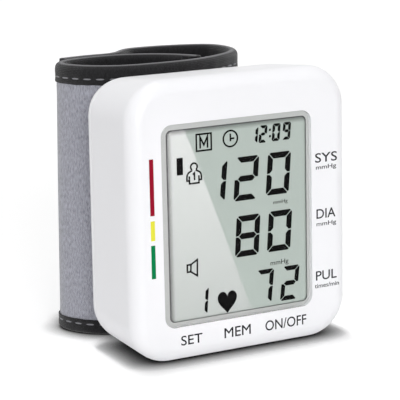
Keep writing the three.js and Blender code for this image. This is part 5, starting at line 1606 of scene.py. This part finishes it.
    def cloth(self, name, start, end):
        """Outer fabric and lining: two faces between the bindings' folds, gathered beside the tape."""
        settings = self.settings
        along = self.stations(start, end)
        edge = self.cloth_edge
        near = np.linspace(edge, self.gathered_reach, self.gathered_rows)
        middle = np.linspace(self.gathered_reach, STRAP_HEIGHT - self.gathered_reach, self.middle_rows)[1:-1]
        rise = np.concatenate([near, middle, STRAP_HEIGHT - near[::-1]])
        height = np.concatenate([rise, rise[::-1]])[None, :]
        gathers = self.gathers(along, rise[None, :])
        offset = np.hstack([gathers, gathers[:, ::-1] * self.inner_gather - settings.fabric])
        sheet = self.strap_piece(name + "_cloth", along, offset, height, self.fabric, "grey_fabric",
                                 [name + "_fabric"])
        self.settle(sheet, name)
        middling = ease(np.minimum(rise, STRAP_HEIGHT - rise), TAPE_REACH, self.swell_reach)[None, :]
        swell = self.lining_swell[name] * middling * (0.6 + 0.4 * ripple(along * self.swell_pace))
        inner = -STRAP_THICKNESS - swell + self.lining_gather * gathers
        back = np.full((len(along), len(rise)), -settings.fabric - self.lining_depth[name])
        offset = np.hstack([back, inner[:, ::-1]])
        stands_for = [name + "_lining"] + (["cuff_bladder"] if name == "cuff" else [])
        pad_piece = self.strap_piece(name + "_knit_lining", along, offset, height, self.lining,
                                     "black_lining", stands_for)
        self.settle(pad_piece, name)

    def bar(self, along, offset, low, high):
        """A flat bar along the strap: its outer and inner offset carried from a low to a high rim."""
        outer, inner = offset
        offset = np.array([outer, outer, inner, inner])[None, :]
        height = np.array([low, high, high, low])[None, :]
        return self.line.at(along, offset, height).reshape(-1, 3), tube_faces(len(along), 4)

    def core(self):
        """The preformed core between fabric and bag: a thin band along the strap with two studs into the
        saddle and a hole for the nozzle."""
        low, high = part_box("cuff_core")
        outer, inner = [self.settings.fabric + depth for depth in self.core_depth]
        along = self.stations(self.line.tail_split, self.line.flap_split)
        band = solid("cuff_core_band", self.bar(along, (-outer, -inner), low.z, high.z))
        x, y = STRAP_MIDDLE
        stud = turned([(self.stud_radius - self.stud_round, 0), (self.stud_radius, self.stud_round),
                       (self.stud_radius, y + inner - self.stud_root - low.y)])
        nozzle_low, nozzle_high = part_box("cuff_nozzle")
        radius = (nozzle_high.x - nozzle_low.x) / 2 + self.nozzle_room
        bore = turned([(radius, 0), (radius, 2 * STRAP_THICKNESS)])
        carved(band, [placed(stud, (x, low.y, CASE_MIDDLE_Z + side * self.stud_spread), FACING_FRONT)
                      for side in (-1, 1)], "UNION")
        carved(band, [placed(bore, (x, y, (nozzle_low.z + nozzle_high.z) / 2), FACING_FRONT)])
        dress(band, bpy.data.materials["satin grey plastic"], "grey_plastic", "case", ["cuff_core"])

    def bindings(self, name, start, end):
        """Tape folded over the lower and upper edge: the section carried along the strap, drawn in at each
        stitch and slightly wavy at its tip."""
        section = binding_section(self.settings.proud, self.settings.tape)
        along = self.stations(start, end)
        offset, reach = section[None, :, 0], section[None, :, 1]
        from_middle = offset + STRAP_THICKNESS / 2
        skin = np.abs(from_middle) > STRAP_THICKNESS / 2 + self.skin_depth
        line = np.exp(-((reach - self.settings.stitch_inset) / self.stitch_groove) ** 2)
        pull = 0.5 + 0.5 * np.cos(2 * np.pi * along / self.settings.stitch_pitch)
        swell = self.tape_swell * (ripple(along * self.tape_swell_pace) - 0.5)
        swell = swell * ease(reach, 0, self.tape_swell_reach)
        drawn_in = line * (self.groove_depth + self.stitch_pull * pull)
        moved = offset + np.sign(from_middle) * skin * (swell - drawn_in)
        wave = self.tip_wave * (ripple(along * self.tip_pace + self.tip_phase) - 0.5)
        tips = reach + wave * ease(reach, self.tip_start, TAPE_REACH)
        for side, height in (("bottom", LOW_TAPE * tips), ("top", STRAP_HEIGHT - tips)):
            made = self.strap_piece(f"{name}_tape_{side}", along, moved, height, self.tape, "black_binding",
                                    [f"{name}_binding_{side}"])
            self.settle(made, name)

    def end_binding(self, name, end, direction):
        """Tape folded over a strap's end and over the ends of the other tapes: the same section, its reach
        laid along the strap, carried upwards, with a row of stitches on each side."""
        settings = self.settings
        proud = settings.proud + self.end_lift
        section = binding_section(proud, settings.tape)
        low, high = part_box(name + "_binding_end")
        height = np.linspace(self.end_margin, STRAP_HEIGHT - self.end_margin, self.end_rows)[:, None]
        along = end + direction * (self.end_fold - section[None, :, 1]) + 0 * height
        offset = section[None, :, 0] + 0 * height
        made = self.strap_piece(name + "_tape_end", along, offset, height, self.tape, "black_binding",
                                [name + "_binding_end"])
        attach(made, "cuff_" + name)
        thread_along = end + direction * (self.end_fold - settings.stitch_inset)
        count = int((high.z - low.z) / settings.stitch_pitch)
        rise = low.z + (np.arange(count) + 0.5) * (high.z - low.z) / count
        outer = proud - self.end_stitch_sink
        shapes = [self.capsules(np.full(count, thread_along), offset, rise, upright=True)
                  for offset in (outer, -STRAP_THICKNESS - outer)]
        add_piece(name + "_end_stitches", merged(shapes), self.thread, "stitching", "cuff_" + name)

    def capsules(self, along, offset, height, upright=False):
        """Stitches as small flattened sausages: rings whose radius follows the square root of one minus the
        fourth power of the place along the stitch."""
        place = np.linspace(-1, 1, self.stitch_rings)[:, None]
        radius = self.settings.thread / 2 * np.sqrt(np.maximum(1 - place ** 4, self.stitch_least))
        around = even_turns(self.stitch_sides)
        run = place * self.settings.stitch_length / 2
        bulge = radius * np.cos(around) * self.stitch_flatness
        sideways = radius * np.sin(around)
        first = along[:, None, None] + (sideways if upright else run)
        second = height[:, None, None] + (run if upright else sideways)
        return tubes(self.line.at(first, offset + bulge[None], second), len(place), len(around))

    def stitches(self, name, start, end):
        """Rows of stitches on both sides of the upper and lower binding, at a pitch that runs on along the
        strap."""
        settings = self.settings
        pitch = settings.stitch_pitch
        room = settings.stitch_length / 2
        along = np.arange(math.ceil((start + room) / pitch), math.floor((end - room) / pitch) + 1) * pitch
        outer = settings.proud - self.stitch_sink
        shapes = [self.capsules(along, offset, np.full(len(along), level))
                  for level in (LOW_TAPE * settings.stitch_inset, STRAP_HEIGHT - settings.stitch_inset)
                  for offset in (outer, -STRAP_THICKNESS - outer)]
        made = add_piece(name + "_stitches", merged(shapes), self.thread, "stitching", None)
        self.settle(made, name)

    def hook_patch(self):
        """A backing strip under the flap with rows of small hooks: a round wire that stands up and turns over
        in an arc, with its rings square to its path."""
        line = self.line
        low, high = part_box("hook_patch")
        tape = moulded_finish("hook tape", (0.03, 0.03, 0.033), 0.5, grain=5000, depth=0.02)
        outer = -STRAP_THICKNESS - self.patch_lift
        inner = outer - self.patch_depth
        strip = self.bar(self.stations(line.patch_start, line.patch_end), (outer, inner), low.z, high.z)
        rows, levels = [np.arange(first + before, last - after, pitch) for first, last, (before, after, pitch)
                        in ((line.patch_start, line.patch_end, self.hook_rows),
                            (low.z, high.z, self.hook_levels))]
        across, upward = [part.reshape(-1, 1, 1) for part in np.meshgrid(rows, levels, indexing="ij")]
        bend = self.hook_bend[:, None]
        around = even_turns(self.hook_sides)
        thickness = self.hook_wire * np.cos(around)
        lean = self.hook_reach * (1 - np.cos(bend)) + np.cos(bend) * thickness
        lift = self.hook_stem[:, None] + self.hook_reach * np.sin(bend) - np.sin(bend) * thickness
        points = line.at(across + lean, inner - lift[None], upward + self.hook_wire * np.sin(around))
        hooks = tubes(points, len(bend), len(around))
        add_piece("hook_strip", merged([strip, hooks]), tape, "hook_tape", "cuff_flap", ["hook_patch"])


# Stage

class MONITOR_OT_stage(bpy.types.Operator):
    """Pale floor, soft studio light and the camera"""

    bl_idname = "monitor.stage"
    bl_label = "Stage"

    floor_size = 4.0
    floor_rows = 9
    floor_colour = (0.92, 0.92, 0.92)
    floor_lift = 0.23
    # Reach and power of the painted contact shadow that darkens the floor where it is seen.
    contact_shade_reach = 6 * MM
    contact_shade_power = 1.8
    # Softness, azimuth and elevation of each lamp, in degrees: one beside the camera, and one overhead, a
    # little behind, for the shadow in front.
    front_lamp = (30, 20, 15)
    top_lamp = (6, 190, 84)
    # The part of the display that glares, in millimetres.
    glare_outline = ((-24.5, 63), (-18.5, 63), (4.8, 8), (-24.5, 8))
    glare_tint = (0.97, 0.825, 0.905)
    glare_low = 1.8
    glare_reach = 1.05
    sensor_width = 36

    def execute(self, context):
        scene = context.scene
        settings = scene.monitor_stage
        scene.view_settings.view_transform = "Standard"
        self.floor()
        self.sky(scene, settings)
        self.lamp("front_lamp", settings.front, *self.front_lamp)
        self.lamp("top_lamp", settings.top, *self.top_lamp)
        self.camera(scene, settings)
        self.glare_card(settings)
        return {"FINISHED"}

    def seen_rays(self, tree):
        """1 on rays that see the background: straight from the camera, in gloss or through glass."""
        rays = add_node(tree, "LightPath").outputs
        seen = maths(tree, "MAXIMUM", rays["Is Camera Ray"], rays["Is Glossy Ray"])
        return maths(tree, "MAXIMUM", seen, rays["Is Transmission Ray"])

    def open_sheet(self, name, points, faces, material):
        """A flat sheet of the stage with its material."""
        mesh = bpy.data.meshes.new(name)
        mesh.from_pydata(points.tolist(), [], faces)
        mesh.update()
        mesh.materials.append(material)
        made = new_object(name, mesh)
        return made

    def floor(self):
        """A wide flat sheet on the ground, lifted to white where it is seen, that keeps the shadow, with a
        painted contact shadow that darkens it where it is seen close to what stands on it."""
        half = self.floor_size / 2
        side = np.linspace(-half, half, self.floor_rows)
        x, y = np.meshgrid(side, side, indexing="ij")
        points = np.stack([x, y, np.zeros_like(x)], axis=-1).reshape(-1, 3)
        material = plain_finish("pale floor", self.floor_colour, 0.9, Specular_IOR_Level=0.0,
                                Emission_Color=(1, 1, 1, 1))
        tree = material.node_tree
        # Painted contact shadow: occlusion darkens the floor's colour and lift on camera rays only.
        shelter = add_node(tree, "AmbientOcclusion")
        shelter.inputs["Distance"].default_value = self.contact_shade_reach
        contact = maths(tree, "POWER", shelter.outputs["AO"], self.contact_shade_power)
        unseen = maths(tree, "SUBTRACT", 1, add_node(tree, "LightPath").outputs["Is Camera Ray"])
        contact = maths(tree, "MAXIMUM", contact, unseen)
        feed(tree, "Base Color", blended(tree, contact, (0, 0, 0), self.floor_colour))
        lift = maths(tree, "MULTIPLY", self.seen_rays(tree), self.floor_lift)
        feed(tree, "Emission Strength", maths(tree, "MULTIPLY", lift, contact))
        self.open_sheet("floor", points, grid_faces(self.floor_rows, self.floor_rows), material)

    def sky(self, scene, settings):
        """Even light from all round that is seen as plain white."""
        world = bpy.data.worlds.new("studio")
        world.use_nodes = True
        tree = world.node_tree
        background = tree.nodes["Background"]
        background.inputs["Color"].default_value = (1, 1, 1, 1)
        tree.links.new(between(tree, self.seen_rays(tree), settings.sky, 1.0), background.inputs["Strength"])
        scene.world = world

    def lamp(self, name, strength, softness, azimuth, elevation):
        """A distant soft lamp, placed by its angle to the left of the front and its angle above the floor."""
        data = bpy.data.lights.new(name, "SUN")
        data.energy = strength
        data.angle = math.radians(softness)
        turn, rise = math.radians(azimuth), math.radians(elevation)
        back = np.array([-math.sin(turn) * math.cos(rise), -math.cos(turn) * math.cos(rise), math.sin(rise)])
        side = np.cross([0, 0, 1], back) / math.cos(rise)
        self.place_axes(new_object(name, data), side, np.cross(back, side), back, back)

    def place_axes(self, made, right, up, back, place):
        """Puts a lamp or camera at a place, with its own three axes along the given directions."""
        rows = np.column_stack([right, up, back])
        made.matrix_world = Matrix([[*row, where] for row, where in zip(rows, place)] + [[0, 0, 0, 1]])

    def glare_card(self, settings):
        """A bright card, seen only in reflections: the part of the display that glares, moved from the glass
        straight away from the camera's mirror image and brighter towards its top."""
        mirrored = self.place * [1, -1, 1] + [0, 2 * GLASS_Y, 0]
        corners = np.array([[x * MM, GLASS_Y, z * MM] for x, z in self.glare_outline])
        points = mirrored + self.glare_reach * (corners - mirrored)
        material = bpy.data.materials.new("glare card")
        material.use_nodes = True
        tree = material.node_tree
        tree.nodes.clear()
        height = parts_of(tree, object_place(tree))["Z"]
        card = (points[:, 2].min(), points[:, 2].max())
        light = add_node(tree, "Emission")
        light.inputs["Color"].default_value = (*self.glare_tint, 1)
        tree.links.new(ranged(tree, height, card, (self.glare_low, settings.glare)), light.inputs["Strength"])
        tree.links.new(light.outputs[0], add_node(tree, "OutputMaterial").inputs["Surface"])
        made = self.open_sheet("glare_card", points, [list(range(len(points)))], material)
        made.visible_camera = False
        made.visible_diffuse = False
        made.visible_shadow = False

    def camera(self, scene, settings):
        """A camera on a sphere about the case: turned left of the front, raised, rolled, and moved across."""
        t, e, roll = settings.azimuth, settings.elevation, settings.roll
        view = np.array([math.sin(t) * math.cos(e), math.cos(t) * math.cos(e), -math.sin(e)])
        level = np.array([math.cos(t), -math.sin(t), 0])
        upright = np.cross(level, view)
        right = math.cos(roll) * level + math.sin(roll) * upright
        up = math.cos(roll) * upright - math.sin(roll) * level
        middle = np.array([0, FRONT_Y, CASE_MIDDLE_Z])
        self.place = middle - settings.across * right - settings.above * up - settings.distance * view
        data = bpy.data.cameras.new("camera")
        data.lens = settings.lens
        data.sensor_width = self.sensor_width
        camera = new_object("camera", data)
        self.place_axes(camera, right, up, -view, self.place)
        scene.camera = camera


class MONITOR_PT_panel(bpy.types.Panel):
    """Lists the monitor's settings and steps"""

    bl_idname = "MONITOR_PT_panel"
    bl_label = "Wrist Monitor"
    bl_space_type = "VIEW_3D"
    bl_region_type = "UI"
    bl_category = "Monitor"

    def draw(self, context):
        for name in SETTINGS:
            group = getattr(context.scene, name)
            box = self.layout.box()
            for key in group.__annotations__:
                box.prop(group, key)
        for step in STEPS:
            self.layout.operator(step.bl_idname)


SETTINGS = {"monitor_case": CaseSettings, "monitor_display": DisplaySettings, "monitor_cuff": CuffSettings,
            "monitor_stage": StageSettings}
STEPS = (MONITOR_OT_case, MONITOR_OT_screws, MONITOR_OT_keys, MONITOR_OT_battery, MONITOR_OT_display,
         MONITOR_OT_prints, MONITOR_OT_inner_parts, MONITOR_OT_cuff, MONITOR_OT_stage)
CLASSES = (*SETTINGS.values(), *STEPS, MONITOR_PT_panel)


def register():
    """Registers the classes and hangs the settings on the scene."""
    for item in CLASSES:
        bpy.utils.register_class(item)
    for name, item in SETTINGS.items():
        setattr(bpy.types.Scene, name, PointerProperty(type=item))


def unregister():
    """Takes the settings and the classes away again."""
    for name in SETTINGS:
        delattr(bpy.types.Scene, name)
    for item in reversed(CLASSES):
        bpy.utils.unregister_class(item)


def main():
    """Registers the add-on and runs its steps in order."""
    register()
    for group, name in (step.bl_idname.split(".") for step in STEPS):
        getattr(getattr(bpy.ops, group), name)()


if __name__ == "__main__":
    main()
